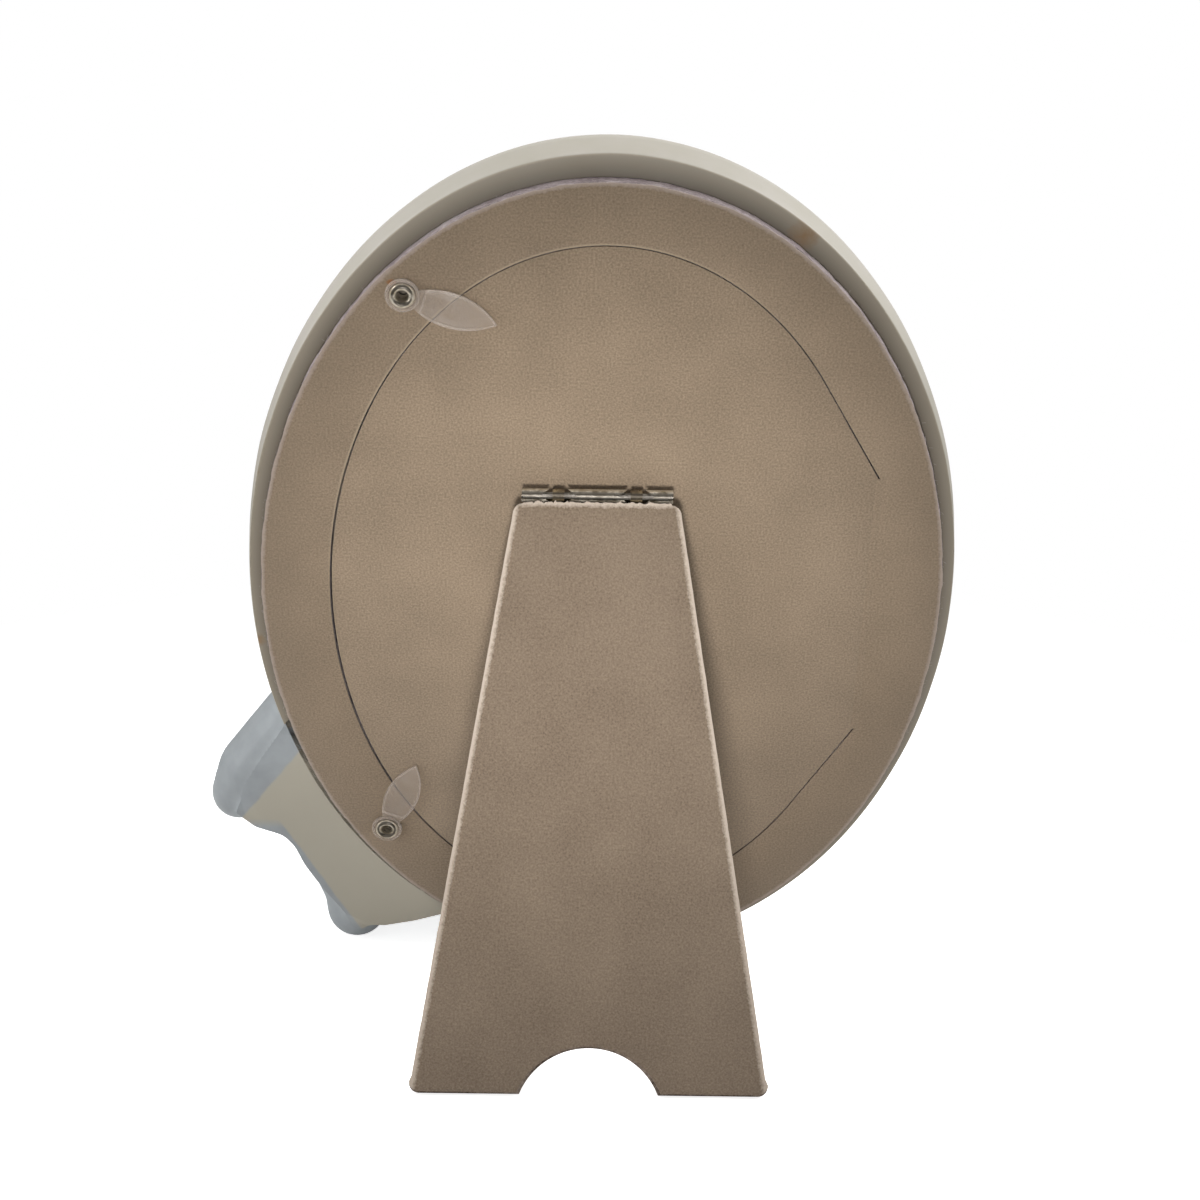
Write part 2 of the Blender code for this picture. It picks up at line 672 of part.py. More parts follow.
def ellipsoid(work, centre, radii, turn=(0.0, 0.0, 0.0)):
    """Add one ellipsoid to the calf's rough form."""
    rotation = Matrix.Rotation(turn[2], 4, "Z") @ Matrix.Rotation(turn[1], 4, "Y")
    rotation = rotation @ Matrix.Rotation(turn[0], 4, "X")
    shape = Matrix.Translation(Vector(centre) * MM) @ rotation @ Matrix.Diagonal((*radii, 1.0))
    bmesh.ops.create_uvsphere(work, u_segments=24, v_segments=12, radius=MM, matrix=shape)


def limb(work, points, radii):
    """Add a row of spheres close enough to fuse into one tapering limb."""
    for index in range(len(points) - 1):
        start = Vector(points[index])
        end = Vector(points[index + 1])
        steps = max(2, ceil((end - start).length / 2.5))
        for step in range(steps + 1):
            share = step / steps
            radius = radii[index] + (radii[index + 1] - radii[index]) * share
            ellipsoid(work, start.lerp(end, share), (radius, radius, radius))


def floor_below(depth):
    """Return the height, along the frame's own upright, of the floor below a depth in millimetres."""
    return (stand_floor() / MM + depth * sin(LEAN)) / cos(LEAN)


def calf_back(work):
    """Add the slab behind the calf, whose flat face ends flush with the ring's back."""
    ear = [(84, -36), (92, -50), (99, -63), (104, -74), (99, -79), (91, -82)]
    flank = [(88, -86), (85.5, -93), (80, -103), (75, -110), (71, -115.5)]
    foot = [(63, -116), (54, -114), (42, -110)]
    inside = [(42, -90), (60, -60)]
    outline = ear + flank + foot + inside
    front = [work.verts.new(Vector((x * MM, RING_BACK - CALF_SLAB, z * MM))) for x, z in outline]
    back = [work.verts.new(Vector((x * MM, RING_BACK + CALF_VOXEL, z * MM))) for x, z in outline]
    work.faces.new(list(reversed(front)))
    work.faces.new(back)
    for index in range(len(outline)):
        after = (index + 1) % len(outline)
        work.faces.new((front[index], front[after], back[after], back[index]))


def calf_forms(work):
    """Build the calf from rounded masses, in millimetres: seated, facing out of the picture."""
    ellipsoid(work, (65, -24, -98), (20, 20, 27))
    ellipsoid(work, (50, -19, -108), (14, 13, 12))
    ellipsoid(work, (69, -34, -61), (18.5, 18, 18))
    ellipsoid(work, (69, -36, -50), (14, 14, 11))
    ellipsoid(work, (47, -35, -60), (7, 5, 17), (0.0, radians(24), radians(-24)))
    ellipsoid(work, (44, -36, -66), (7, 4.5, 11), (0.0, radians(10), radians(-24)))
    limb(work, [(83, -14, -42), (94.5, -14, -57.5), (100, -14, -65), (104.5, -14, -73.5)],
         [10.0, 10.0, 10.0, 8.2])
    limb(work, [(84, -14, -90), (77.5, -13, -101), (73.5, -13, -110), (72, -13, -116)],
         [6.0, 7.0, 8.0, 9.2])
    limb(work, [(69, -49, -62), (69, -57, -72), (67, -60, -84), (62, -63, -91), (56, -66, -89)],
         [8.0, 6.4, 5.0, 4.2, 3.4])
    for hip, foot in ((54, 51), (75, 75)):
        limb(work, [(hip, -37, -86), (foot, -44, -104), (foot, -47, floor_below(-47) + 3)], [8.0, 7.4, 8.2])
    for hip, foot in ((48, 42), (70, 73)):
        limb(work, [(hip, -26, -112), (foot, -34, floor_below(-34) + 5)], [12.0, 9.5])
    calf_back(work)


def make_calf(parts, cutters, ring, floor, stand, painted):
    """Seated elephant calf, flat behind, notched over the ring and level where it stands."""
    work = bmesh.new()
    calf_forms(work)
    mesh = bpy.data.meshes.new("calf_figure")
    work.to_mesh(mesh)
    work.free()
    calf = add_mesh_object("calf_figure", mesh, parts, painted)
    fuse = calf.modifiers.new("fuse", "REMESH")
    fuse.mode = "VOXEL"
    fuse.voxel_size = CALF_VOXEL
    soften = calf.modifiers.new("soften", "SMOOTH")
    soften.factor = 0.5
    soften.iterations = CALF_SMOOTH_STEPS
    thin = calf.modifiers.new("thin", "DECIMATE")
    thin.ratio = CALF_KEPT_FACETS
    apply_modifiers(calf)
    behind = box("cut_behind_calf", (-CUT_REACH, RING_BACK, -CUT_REACH),
                 (CUT_REACH, CUT_REACH, CUT_REACH), cutters)
    place(behind, stand)
    combine(calf, behind, "DIFFERENCE")
    notch = add_mesh_object("cut_ring_notch", ring.data.copy(), cutters)
    notch.data.materials.clear()
    swell = notch.modifiers.new("swell", "DISPLACE")
    swell.strength = GAP
    swell.mid_level = 0.0
    place(notch, stand)
    combine(calf, notch, "DIFFERENCE")
    combine(calf, floor, "DIFFERENCE")
    place(calf, stand)
    calf.data.shade_smooth()
    return calf


def main():
    """Build the frame, its picture stack, its back with door and clips, and its easel leg."""
    clear_scene()
    parts = make_collection("oval_picture_frame")
    cutters = make_collection("cutters")
    resin = make_material("cast resin, cream", (0.52, 0.48, 0.41), 0.45)
    painted = make_material("painted resin, pale grey", (0.29, 0.31, 0.33), 0.4)
    flock = make_material("flocked paper", (0.33, 0.26, 0.18), 0.95)
    leg_flock = make_material("flocked paper, leg", (0.28, 0.21, 0.16), 0.95)
    core = make_material("grey board", (0.2, 0.16, 0.12), 0.9)
    nickel = make_material("nickel-plated steel", (0.62, 0.57, 0.49), 0.25, 1.0)
    plastic = make_material("frosted polypropylene", (0.48, 0.42, 0.37), 0.4, alpha=0.6)
    glass = make_material("clear glass", (0.9, 0.93, 0.92), 0.05, alpha=0.3)
    paper = make_material("photo paper", (0.75, 0.74, 0.71), 0.5)
    card = make_material("grey card", (0.33, 0.31, 0.27), 0.9)

    stand = make_empty("stand", parts, None, stand_location(), (-LEAN, 0.0, 0.0))
    floor = box("cut_floor", (-CUT_REACH, -CUT_REACH, -CUT_REACH), (CUT_REACH, CUT_REACH, 0.0), cutters)
    ring = make_ring(parts, floor, stand, resin)
    make_calf(parts, cutters, ring, floor, stand, painted)
    make_pane("glass_pane", GLASS_FRONT, GLASS_BACK, 0.0, parts, stand, glass)
    make_pane("photo_print", PRINT_FRONT, PRINT_BACK, PRINT_INSET, parts, stand, paper)
    make_pane("backing_card", CARD_FRONT, CARD_BACK, CARD_INSET, parts, stand, card)
    make_back_board(parts, cutters, stand, core, flock)
    make_eyelet("eyelet_upper", UPPER_CLIP_PLACE, parts, stand, nickel)
    make_eyelet("eyelet_lower", LOWER_CLIP_PLACE, parts, stand, nickel)
    make_clip("clip_upper", UPPER_CLIP_PLACE, UPPER_CLIP_TURN, parts, cutters, stand, plastic)
    make_clip("clip_lower", LOWER_CLIP_PLACE, LOWER_CLIP_TURN, parts, cutters, stand, plastic)

    crease = Vector((-CREASE_REACH, BOARD_BACK, DOOR_RISE))
    hinge_line = Vector((HINGE_SHIFT, BOARD_BACK + HINGE_STANDOFF, HINGE_HEIGHT))
    door_pivot = make_empty("door_pivot", parts, stand, crease)
    make_door(parts, door_pivot, crease, core, flock)
    make_door_leaf(parts, cutters, door_pivot, hinge_line - crease, nickel)
    make_pin(parts, door_pivot, hinge_line - crease, nickel)
    leg_pivot = make_empty("leg_pivot", parts, door_pivot, hinge_line - crease, (LEG_OPENING, 0.0, 0.0))
    make_leg(parts, cutters, leg_pivot, core, leg_flock)
    make_leg_leaf(parts, cutters, leg_pivot, nickel)


main()
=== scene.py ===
"""Looks of an oval tabletop picture frame, seen from behind on its easel leg.

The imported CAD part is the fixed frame. The pieces that show are made here with finer
shapes and procedural finishes; they ride on the part's bodies. Sizes are in metres.
"""

import logging
from dataclasses import dataclass
from enum import Enum
from math import acos, atan2, ceil, cos, hypot, pi, radians, sin
from typing import Any, Callable, Dict, List, Optional, Sequence, Tuple

import bmesh
import bpy
from mathutils import Matrix, Vector, noise


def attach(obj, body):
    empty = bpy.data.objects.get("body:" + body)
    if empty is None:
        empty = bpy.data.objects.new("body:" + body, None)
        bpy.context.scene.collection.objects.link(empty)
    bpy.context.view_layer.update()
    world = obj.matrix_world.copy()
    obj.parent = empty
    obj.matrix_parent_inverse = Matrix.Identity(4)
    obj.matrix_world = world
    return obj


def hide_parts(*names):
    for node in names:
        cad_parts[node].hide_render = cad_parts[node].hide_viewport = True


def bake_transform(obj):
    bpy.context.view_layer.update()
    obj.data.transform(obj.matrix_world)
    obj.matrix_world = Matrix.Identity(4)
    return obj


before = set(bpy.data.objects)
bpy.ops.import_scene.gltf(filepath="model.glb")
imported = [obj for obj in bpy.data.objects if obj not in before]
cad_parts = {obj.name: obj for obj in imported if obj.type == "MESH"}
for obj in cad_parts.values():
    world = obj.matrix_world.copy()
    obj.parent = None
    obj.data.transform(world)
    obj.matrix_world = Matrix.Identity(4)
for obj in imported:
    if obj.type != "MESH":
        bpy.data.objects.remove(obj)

log = logging.getLogger("frame_looks")
MM = 0.001
FLAT_BACK = -4.0 * MM
Point = Tuple[float, float]
Place = Tuple[float, float, float]
Socket = bpy.types.NodeSocket


class Body(Enum):
    """Bodies of the CAD part that pieces ride on."""

    FRAME = "frame"
    DOOR = "door"
    LEG = "leg"
    UPPER_CLIP = "upper_clip"
    LOWER_CLIP = "lower_clip"


def linear(code: str) -> Tuple[float, float, float, float]:
    """Turn an sRGB hex colour into a linear one.

    Args:
        code: six hex digits, such as "a18f78".

    Returns:
        Linear red, green and blue with an alpha of one.
    """
    values = []
    for start in (0, 2, 4):
        level = int(code[start:start + 2], 16) / 255
        values.append(level / 12.92 if level <= 0.04045 else ((level + 0.055) / 1.055) ** 2.4)
    return (values[0], values[1], values[2], 1.0)


@dataclass(frozen=True)
class Stance:
    """How the frame stands: its lean and the place of the board's centre.

    Attributes:
        lean: angle by which the board leans back.
        shift: distance of the board's centre behind the ring's foot.
        lift: height of the board's centre over the table.
        opening: angle between the board and the easel leg.
        hinge: the easel hinge's line in board coordinates.
    """

    lean: float = radians(13.9)
    shift: float = 37.24 * MM
    lift: float = 118.223 * MM
    opening: float = radians(27.2)
    hinge: Place = (1.7 * MM, 3.9 * MM, 36.9 * MM)

    def board(self) -> Matrix:
        """Return the matrix from board coordinates to the scene."""
        return Matrix.Translation((0.0, self.shift, self.lift)) @ Matrix.Rotation(-self.lean, 4, "X")

    def leg(self) -> Matrix:
        """Return the matrix from leg coordinates, with the hinge at their origin, to the scene."""
        return self.board() @ Matrix.Translation(self.hinge) @ Matrix.Rotation(self.opening, 4, "X")


STANCE = Stance()


class Nodes:
    """A node tree that one function fills."""

    def __init__(self, tree: bpy.types.NodeTree) -> None:
        """Empty the tree.

        Args:
            tree: the tree to fill.
        """
        self.tree = tree
        tree.nodes.clear()

    def add(self, kind: str, inputs: Optional[Dict[Any, Any]] = None, out: Any = 0,
            **settings: Any) -> Optional[Socket]:
        """Add a node with its settings, values and links.

        Args:
            kind: the node's type name; a shader node's leaves out its common start.
            inputs: values or sockets for its inputs, by name or number.
            out: name or number of the output to return.
            **settings: attributes to set on the node.

        Returns:
            The output's socket, or nothing from a node that has none.
        """
        node = self.tree.nodes.new(kind if "Node" in kind else "ShaderNode" + kind)
        for key, value in settings.items():
            setattr(node, key, value)
        for key, value in (inputs or {}).items():
            if isinstance(value, bpy.types.NodeSocket):
                self.tree.links.new(value, node.inputs[key])
            else:
                node.inputs[key].default_value = value
        return node.outputs[out] if node.outputs else None


class Tree(Nodes):
    """The node tree of one material, with its patterns in real sizes."""

    def __init__(self, name: str) -> None:
        """Start an empty material.

        Args:
            name: the real material and how it is worked.
        """
        self.material = bpy.data.materials.new(name)
        self.material.use_nodes = True
        super().__init__(self.material.node_tree)

    def place(self, matrix: Matrix) -> Socket:
        """Return coordinates measured from a matrix's origin along its axes.

        Args:
            matrix: from those coordinates to the scene.

        Returns:
            The vector socket, in metres.
        """
        where = self.add("TexCoord", out="Object")
        return self.add("Mapping", {"Vector": where, "Location": matrix.to_translation(),
                                    "Rotation": matrix.to_euler()}, vector_type="TEXTURE")

    def beyond_oval(self, where: Socket, half_width: float, half_height: float,
                    rise: float = 0.0) -> Socket:
        """Return how far a place lies outside an upright oval, below zero inside it.

        Args:
            where: coordinates in metres.
            half_width: half of the oval's width.
            half_height: half of the oval's height.
            rise: height of the oval's centre.

        Returns:
            The distance's socket, in metres.
        """
        centred = self.add("VectorMath", {0: where, 1: (0.0, 0.0, rise)}, operation="SUBTRACT")
        lengths = []
        for power in (1, 2):
            scale = (half_width ** -power, 0.0, half_height ** -power)
            scaled = self.add("VectorMath", {0: centred, 1: scale}, operation="MULTIPLY")
            lengths.append(self.add("VectorMath", {0: scaled}, "Value", operation="LENGTH"))
        over = self.add("Math", {0: lengths[0], 1: 1.0}, operation="SUBTRACT")
        over = self.add("Math", {0: over, 1: lengths[0]}, operation="MULTIPLY")
        return self.add("Math", {0: over, 1: lengths[1]}, operation="DIVIDE")

    def roughened(self, distance: Socket, where: Socket, size: float, reach: float,
                  detail: float = 3.0, roughness: float = 0.6) -> Socket:
        """Return a distance that wavers, so that a border drawn by it is ragged.

        Args:
            distance: the even distance.
            where: coordinates in metres.
            size: size of the waves.
            reach: greatest change.
            detail: octaves of finer waves.
            roughness: share of those octaves.

        Returns:
            The ragged distance's socket, in metres.
        """
        waves = self.add("TexNoise", {"Vector": where, "Scale": 1 / size, "Detail": detail,
                                      "Roughness": roughness})
        waves = self.add("Math", {0: waves, 1: reach}, operation="MULTIPLY")
        return self.add("Math", {0: distance, 1: waves}, operation="ADD")

    def clouded(self, where: Socket, size: float, dark: str, light: str, detail: float = 3.0,
                roughness: float = 0.5) -> Tuple[Socket, Socket]:
        """Return two tones that drift into each other.

        Args:
            where: coordinates in metres.
            size: size of the clouds.
            dark: one tone.
            light: the other tone.
            detail: octaves of finer clouds.
            roughness: share of those octaves.

        Returns:
            Colour socket and the clouds' own level.
        """
        clouds = self.add("TexNoise", {"Vector": where, "Scale": 1 / size, "Detail": detail,
                                       "Roughness": roughness})
        share = self.add("MapRange", {0: clouds, 1: 0.3, 2: 0.7})
        colour = self.add("Mix", {0: share, 6: linear(dark), 7: linear(light)}, 2, data_type="RGBA")
        return colour, clouds

    def tinted(self, colour: Socket, share: Socket, tone: str) -> Socket:
        """Return a colour with a second tone laid over a share of it.

        Args:
            colour: the colour below.
            share: how much of the tone covers it at each place.
            tone: the tone on top.

        Returns:
            The colour's socket.
        """
        return self.add("Mix", {0: share, 6: colour, 7: linear(tone)}, 2, data_type="RGBA")

    def finish(self, inputs: Dict[str, Any], height: Optional[Socket] = None,
               depth: float = 0.0) -> bpy.types.Material:
        """Close the tree with one Principled shader.

        Args:
            inputs: the shader's values and links.
            height: level for a bump, if there is one.
            depth: the bump's depth in metres.

        Returns:
            The finished material.
        """
        if height is not None:
            bump = self.add("Bump", {"Height": height, "Distance": depth, "Strength": 1.0})
            inputs = {**inputs, "Normal": bump}
        self.add("OutputMaterial", {"Surface": self.add("BsdfPrincipled", inputs)})
        return self.material


@dataclass(frozen=True)
class Flock:
    """Short-napped flocked paper: dull like felt, with soft clouds and rare dark specks.

    The real nap is finer than a pixel, so its grain is drawn coarse enough to show.

    Attributes:
        name: the material's name.
        light: colour of the nap's tips.
        dark: colour between the tips.
        grain: size of the grain.
        cloud: size of the clouds.
        pile: height of the nap.
        fray: length and reach of the waves along the board's worn borders.
        leg_fray: the same for the leg's borders.
        spacing: distance between stray fibres.
        speck: colour of stray fibres.
        worn: colour of the bared paper at the leg's sides and top; along the sides it is also a painted
            highlight.
        rubbed: colour of the nap rubbed at the board's edge.
        lip: colour of the painted highlight on the nap pressed up beside the door's cut.
        highlight_side: direction towards the end of the door where that lip stands up.
        shade: colour of the painted shade inside the door's cut.
        cut_end: how far across the door the oval part of the cut runs.
        tear: place and size of the brown tear beside the upper clip.
        stretch: two scales that make that tear wider than it is high.
        rust: colour of that tear.
    """

    name: str = "flocked paper, short nap"
    light: str = "998670"
    dark: str = "726351"
    grain: float = 0.55 * MM
    cloud: float = 22 * MM
    pile: float = 0.12 * MM
    fray: Point = (1.5 * MM, 1.2 * MM)
    leg_fray: Point = (1.1 * MM, 1.5 * MM)
    spacing: float = 3.2 * MM
    speck: str = "5c4d3e"
    worn: str = "bfb1a2"
    rubbed: str = "b5a79f"
    lip: str = "b9a88f"
    highlight_side: Place = (0.6, 0.0, 0.8)
    shade: str = "33281d"
    cut_end: float = -52 * MM
    tear: Place = (52.6 * MM, 93.3 * MM, 1.3 * MM)
    stretch: Point = (0.75, 1.6)
    rust: str = "8a5c34"

    def paint(self, tree: Tree, where: Socket) -> Tuple[Socket, Socket]:
        """Return the nap's colour and height.

        Args:
            tree: the material being built.
            where: coordinates in metres.

        Returns:
            Colour socket and height socket.
        """
        fine = tree.add("TexNoise", {"Vector": where, "Scale": 1 / self.grain, "Detail": 3.0,
                                     "Roughness": 0.65})
        clouds = tree.add("TexNoise", {"Vector": where, "Scale": 1 / self.cloud, "Detail": 2.0,
                                       "Roughness": 0.5})
        nap = tree.add("MapRange", {0: fine, 1: 0.3, 2: 0.7})
        drift = tree.add("MapRange", {0: clouds, 1: 0.3, 2: 0.7, 3: -0.14, 4: 0.14})
        level = tree.add("Math", {0: nap, 1: drift}, operation="ADD", use_clamp=True)
        colour = tree.add("Mix", {0: level, 6: linear(self.dark), 7: linear(self.light)}, 2,
                          data_type="RGBA")
        fibres = tree.add("TexVoronoi", {"Vector": where, "Scale": 1 / self.spacing}).node.outputs
        near = tree.add("MapRange", {0: fibres["Distance"], 1: 0.05, 2: 0.075, 3: 0.6, 4: 0.0})
        chance = tree.add("SeparateColor", {0: fibres["Color"]})
        rare = tree.add("MapRange", {0: chance, 1: 0.84, 2: 0.86})
        share = tree.add("Math", {0: near, 1: rare}, operation="MULTIPLY")
        return tree.tinted(colour, share, self.speck), fine

    def close(self, tree: Tree, colour: Socket, height: Socket) -> bpy.types.Material:
        """Return the finished material, matt with the faint sheen of a nap.

        Args:
            tree: the material being built.
            colour: its colour.
            height: the nap's height.

        Returns:
            The material.
        """
        return tree.finish({"Base Color": colour, "Roughness": 0.95, "Sheen Weight": 0.25,
                            "Sheen Roughness": 0.6, "Specular IOR Level": 0.15}, height, self.pile)

    def board(self, matrix: Matrix, size: "BoardSize") -> bpy.types.Material:
        """Build the rim's and door's finish, pale at the worn edge, with painted shade and a painted
        highlight.

        Args:
            matrix: placement of the board.
            size: the board's sizes.

        Returns:
            The material.
        """
        tree = Tree(self.name)
        where = tree.place(matrix)
        colour, height = self.paint(tree, where)
        # The nap is rubbed pale along the board's edge
        outside = tree.beyond_oval(where, size.half_width, size.half_height)
        outside = tree.roughened(outside, where, *self.fray)
        share = tree.add("MapRange", {0: outside, 1: -0.5 * MM, 2: 0.3 * MM, 4: 0.7})
        colour = tree.tinted(colour, share, self.rubbed)
        # Painted shade: the rim darkens outward from the door's cut, for light falling off towards the
        # board's edge
        cut = tree.beyond_oval(where, size.door_width, size.door_height, size.door_rise)
        share = tree.add("MapRange", {0: cut, 1: -4 * MM, 2: 16 * MM, 4: 0.3})
        colour = tree.tinted(colour, share, self.dark)
        # Painted highlight on the lip pressed up outside the cut, towards the door's upper end
        upper = tree.add("VectorMath", {0: where, 1: self.highlight_side}, "Value", operation="DOT_PRODUCT")
        upper = tree.add("MapRange", {0: upper, 1: 30 * MM, 2: 80 * MM})
        lip = tree.add("MapRange", {0: cut, 1: 0.15 * MM, 2: 0.75 * MM, 3: 0.6, 4: 0.0})
        beyond = tree.add("MapRange", {0: cut, 1: -0.1 * MM, 2: 0.05 * MM})
        lip = tree.add("Math", {0: lip, 1: beyond}, operation="MULTIPLY")
        share = tree.add("Math", {0: lip, 1: upper}, operation="MULTIPLY")
        colour = tree.tinted(colour, share, self.lip)
        # Painted shade darkens the cut, except where the door leaves the oval for its crease
        near = tree.add("Math", {0: cut}, operation="ABSOLUTE")
        near = tree.add("MapRange", {0: near, 1: 0.08 * MM, 2: 0.24 * MM, 3: 0.8, 4: 0.0})
        across = tree.add("SeparateXYZ", {0: where})
        oval_side = tree.add("MapRange", {0: across, 1: self.cut_end - 5 * MM, 2: self.cut_end})
        share = tree.add("Math", {0: near, 1: oval_side}, operation="MULTIPLY")
        colour = tree.tinted(colour, share, self.shade)
        # A small tear shows the brown board
        x, z, reach = self.tear
        wide, high = self.stretch
        flat = tree.add("VectorMath", {0: where, 1: (wide, 0.0, high)}, operation="MULTIPLY")
        torn = tree.add("VectorMath", {0: flat, 1: (wide * x, 0.0, high * z)}, "Value",
                        operation="DISTANCE")
        torn = tree.roughened(torn, where, *self.fray)
        share = tree.add("MapRange", {0: torn, 1: reach, 2: 1.5 * reach, 3: 0.85, 4: 0.0})
        return self.close(tree, tree.tinted(colour, share, self.rust), height)

    def leg(self, matrix: Matrix, leg: "LegSize") -> bpy.types.Material:
        """Build the finish of the leg, with pale worn paper along its sides and top, also a painted highlight
        on the sides.

        Args:
            matrix: placement of the leg.
            leg: the leg's sizes.

        Returns:
            The material.
        """
        tree = Tree("flocked paper, worn and painted highlight at the cut sides")
        where = tree.place(matrix)
        colour, height = self.paint(tree, where)
        across, _, up = tree.add("SeparateXYZ", {0: where}).node.outputs
        # The pale band at the sides is bared paper and also a painted highlight where the edges catch light
        half = leg.top_width / 2 + leg.slope() * leg.top()
        half = tree.add("Math", {0: up, 1: -leg.slope(), 2: half}, operation="MULTIPLY_ADD")
        across = tree.add("Math", {0: across}, operation="ABSOLUTE")
        beyond = tree.add("Math", {0: across, 1: half}, operation="SUBTRACT")
        side = tree.roughened(beyond, where, *self.leg_fray)
        side = tree.add("MapRange", {0: side, 1: -0.8 * MM, 2: 0.25 * MM, 4: 0.85})
        top = tree.roughened(up, where, *self.leg_fray)
        top = tree.add("MapRange", {0: top, 1: leg.top() - 0.3 * MM, 2: leg.top() + 0.7 * MM, 4: 0.75})
        share = tree.add("Math", {0: side, 1: top}, operation="MAXIMUM")
        return self.close(tree, tree.tinted(colour, share, self.worn), height)


@dataclass(frozen=True)
class TornBoard:
    """Raw cut edge of pressed board: dull, layered along the sheet and a little furry.

    Attributes:
        name: the material's name.
        light: colour of the torn fibres.
        dark: colour of the board.
        fur: length of the torn fibres.
        patch: size of the paler patches.
        layers: how much thinner the layers are than they are long.
        relief: depth of the torn surface.
    """

    name: str = "pressed board, torn cut edge"
    light: str = "b3a8a8"
    dark: str = "7d7273"
    fur: float = 1.4 * MM
    patch: float = 9 * MM
    layers: float = 4.0
    relief: float = 0.3 * MM

    def build(self, matrix: Matrix) -> bpy.types.Material:
        """Build the finish.

        Args:
            matrix: placement of the board.

        Returns:
            The material.
        """
        tree = Tree(self.name)
        where = tree.place(matrix)
        layered = tree.add("Mapping", {"Vector": where, "Scale": (1.0, self.layers, 1.0)})
        fur = tree.add("TexNoise", {"Vector": layered, "Scale": 1 / self.fur, "Detail": 4.0,
                                    "Roughness": 0.7})
        patches = tree.add("TexNoise", {"Vector": where, "Scale": 1 / self.patch, "Detail": 2.0,
                                        "Roughness": 0.5})
        torn = tree.add("MapRange", {0: fur, 1: 0.35, 2: 0.68})
        drift = tree.add("MapRange", {0: patches, 1: 0.35, 2: 0.65, 3: -0.3, 4: 0.3})
        level = tree.add("Math", {0: torn, 1: drift}, operation="ADD", use_clamp=True)
        colour = tree.add("Mix", {0: level, 6: linear(self.dark), 7: linear(self.light)}, 2,
                          data_type="RGBA")
        return tree.finish({"Base Color": colour, "Roughness": 1.0, "Specular IOR Level": 0.1},
                           fur, self.relief)


@dataclass(frozen=True)
class CastResin:
    """Smooth cast resin: satin and faintly cloudy; its flat back has glue stains and painted shade, darkest
    by the board.

    Attributes:
        name: the material's name.
        light: main colour.
        dark: colour of the clouds.
        cloud: size of the clouds.
        near: the flat back beside the board, in the deepest painted shade.
        far: the flat back near its outer edge, in lighter painted shade.
        fade: distance from one to the other.
        stain: colour of the glue that soaked in.
        stains: places and sizes of the stains in board coordinates.
        roughness: of the surface.
        blot: size of the waves along a stain's border.
        grain: size of the surface grain, drawn coarser than the real one so that it shows.
    """

    name: str = "cast resin, smooth cream"
    light: str = "aea9a0"
    dark: str = "a5a093"
    cloud: float = 14 * MM
    near: str = "61584b"
    far: str = "978e7d"
    fade: float = 5.5 * MM
    stain: str = "7b5b33"
    stains: Tuple[Place, ...] = (
        (-47.3 * MM, 105.5 * MM, 4.5 * MM),
        (91.5 * MM, 38.7 * MM, 2.4 * MM),
        (93.4 * MM, -14.0 * MM, 2.4 * MM),
    )
    roughness: float = 0.5
    blot: float = 1.6 * MM
    grain: float = 0.7 * MM

    def build(self, matrix: Matrix, board: "BoardSize", back: float) -> bpy.types.Material:
        """Build the finish.

        Args:
            matrix: placement of the ring.
            board: sizes of the board that hides the middle.
            back: depth of the ring's flat back.

        Returns:
            The material.
        """
        tree = Tree(self.name)
        where = tree.place(matrix)
        colour, clouds = tree.clouded(where, self.cloud, self.dark, self.light, 4.0, 0.6)
        # Painted shade on the flat back: darker towards the board, most beside its proud edge; glue stains
        # lie on it
        outside = tree.beyond_oval(where, board.half_width, board.half_height)
        share = tree.add("MapRange", {0: outside, 1: 0.0, 2: self.fade})
        bare = tree.add("Mix", {0: share, 6: linear(self.near), 7: linear(self.far)}, 2,
                        data_type="RGBA")
        for x, z, reach in self.stains:
            away = tree.add("VectorMath", {0: where, 1: (x, back, z)}, "Value", operation="DISTANCE")
            away = tree.roughened(away, where, self.blot, reach, 4.0, 0.7)
            share = tree.add("MapRange", {0: away, 1: 0.6 * reach, 2: 1.5 * reach, 3: 0.8, 4: 0.0})
            bare = tree.tinted(bare, share, self.stain)
        depth = tree.add("SeparateXYZ", {0: where}, 1)
        share = tree.add("MapRange", {0: depth, 1: back - 0.3 * MM, 2: back - 0.1 * MM})
        colour = tree.add("Mix", {0: share, 6: colour, 7: bare}, 2, data_type="RGBA")
        rough = tree.add("MapRange", {0: clouds, 1: 0.3, 2: 0.7, 3: self.roughness - 0.06,
                                      4: self.roughness + 0.08})
        fine = tree.add("TexNoise", {"Vector": where, "Scale": 1 / self.grain, "Detail": 3.0})
        return tree.finish({"Base Color": colour, "Roughness": rough}, fine, 0.015 * MM)


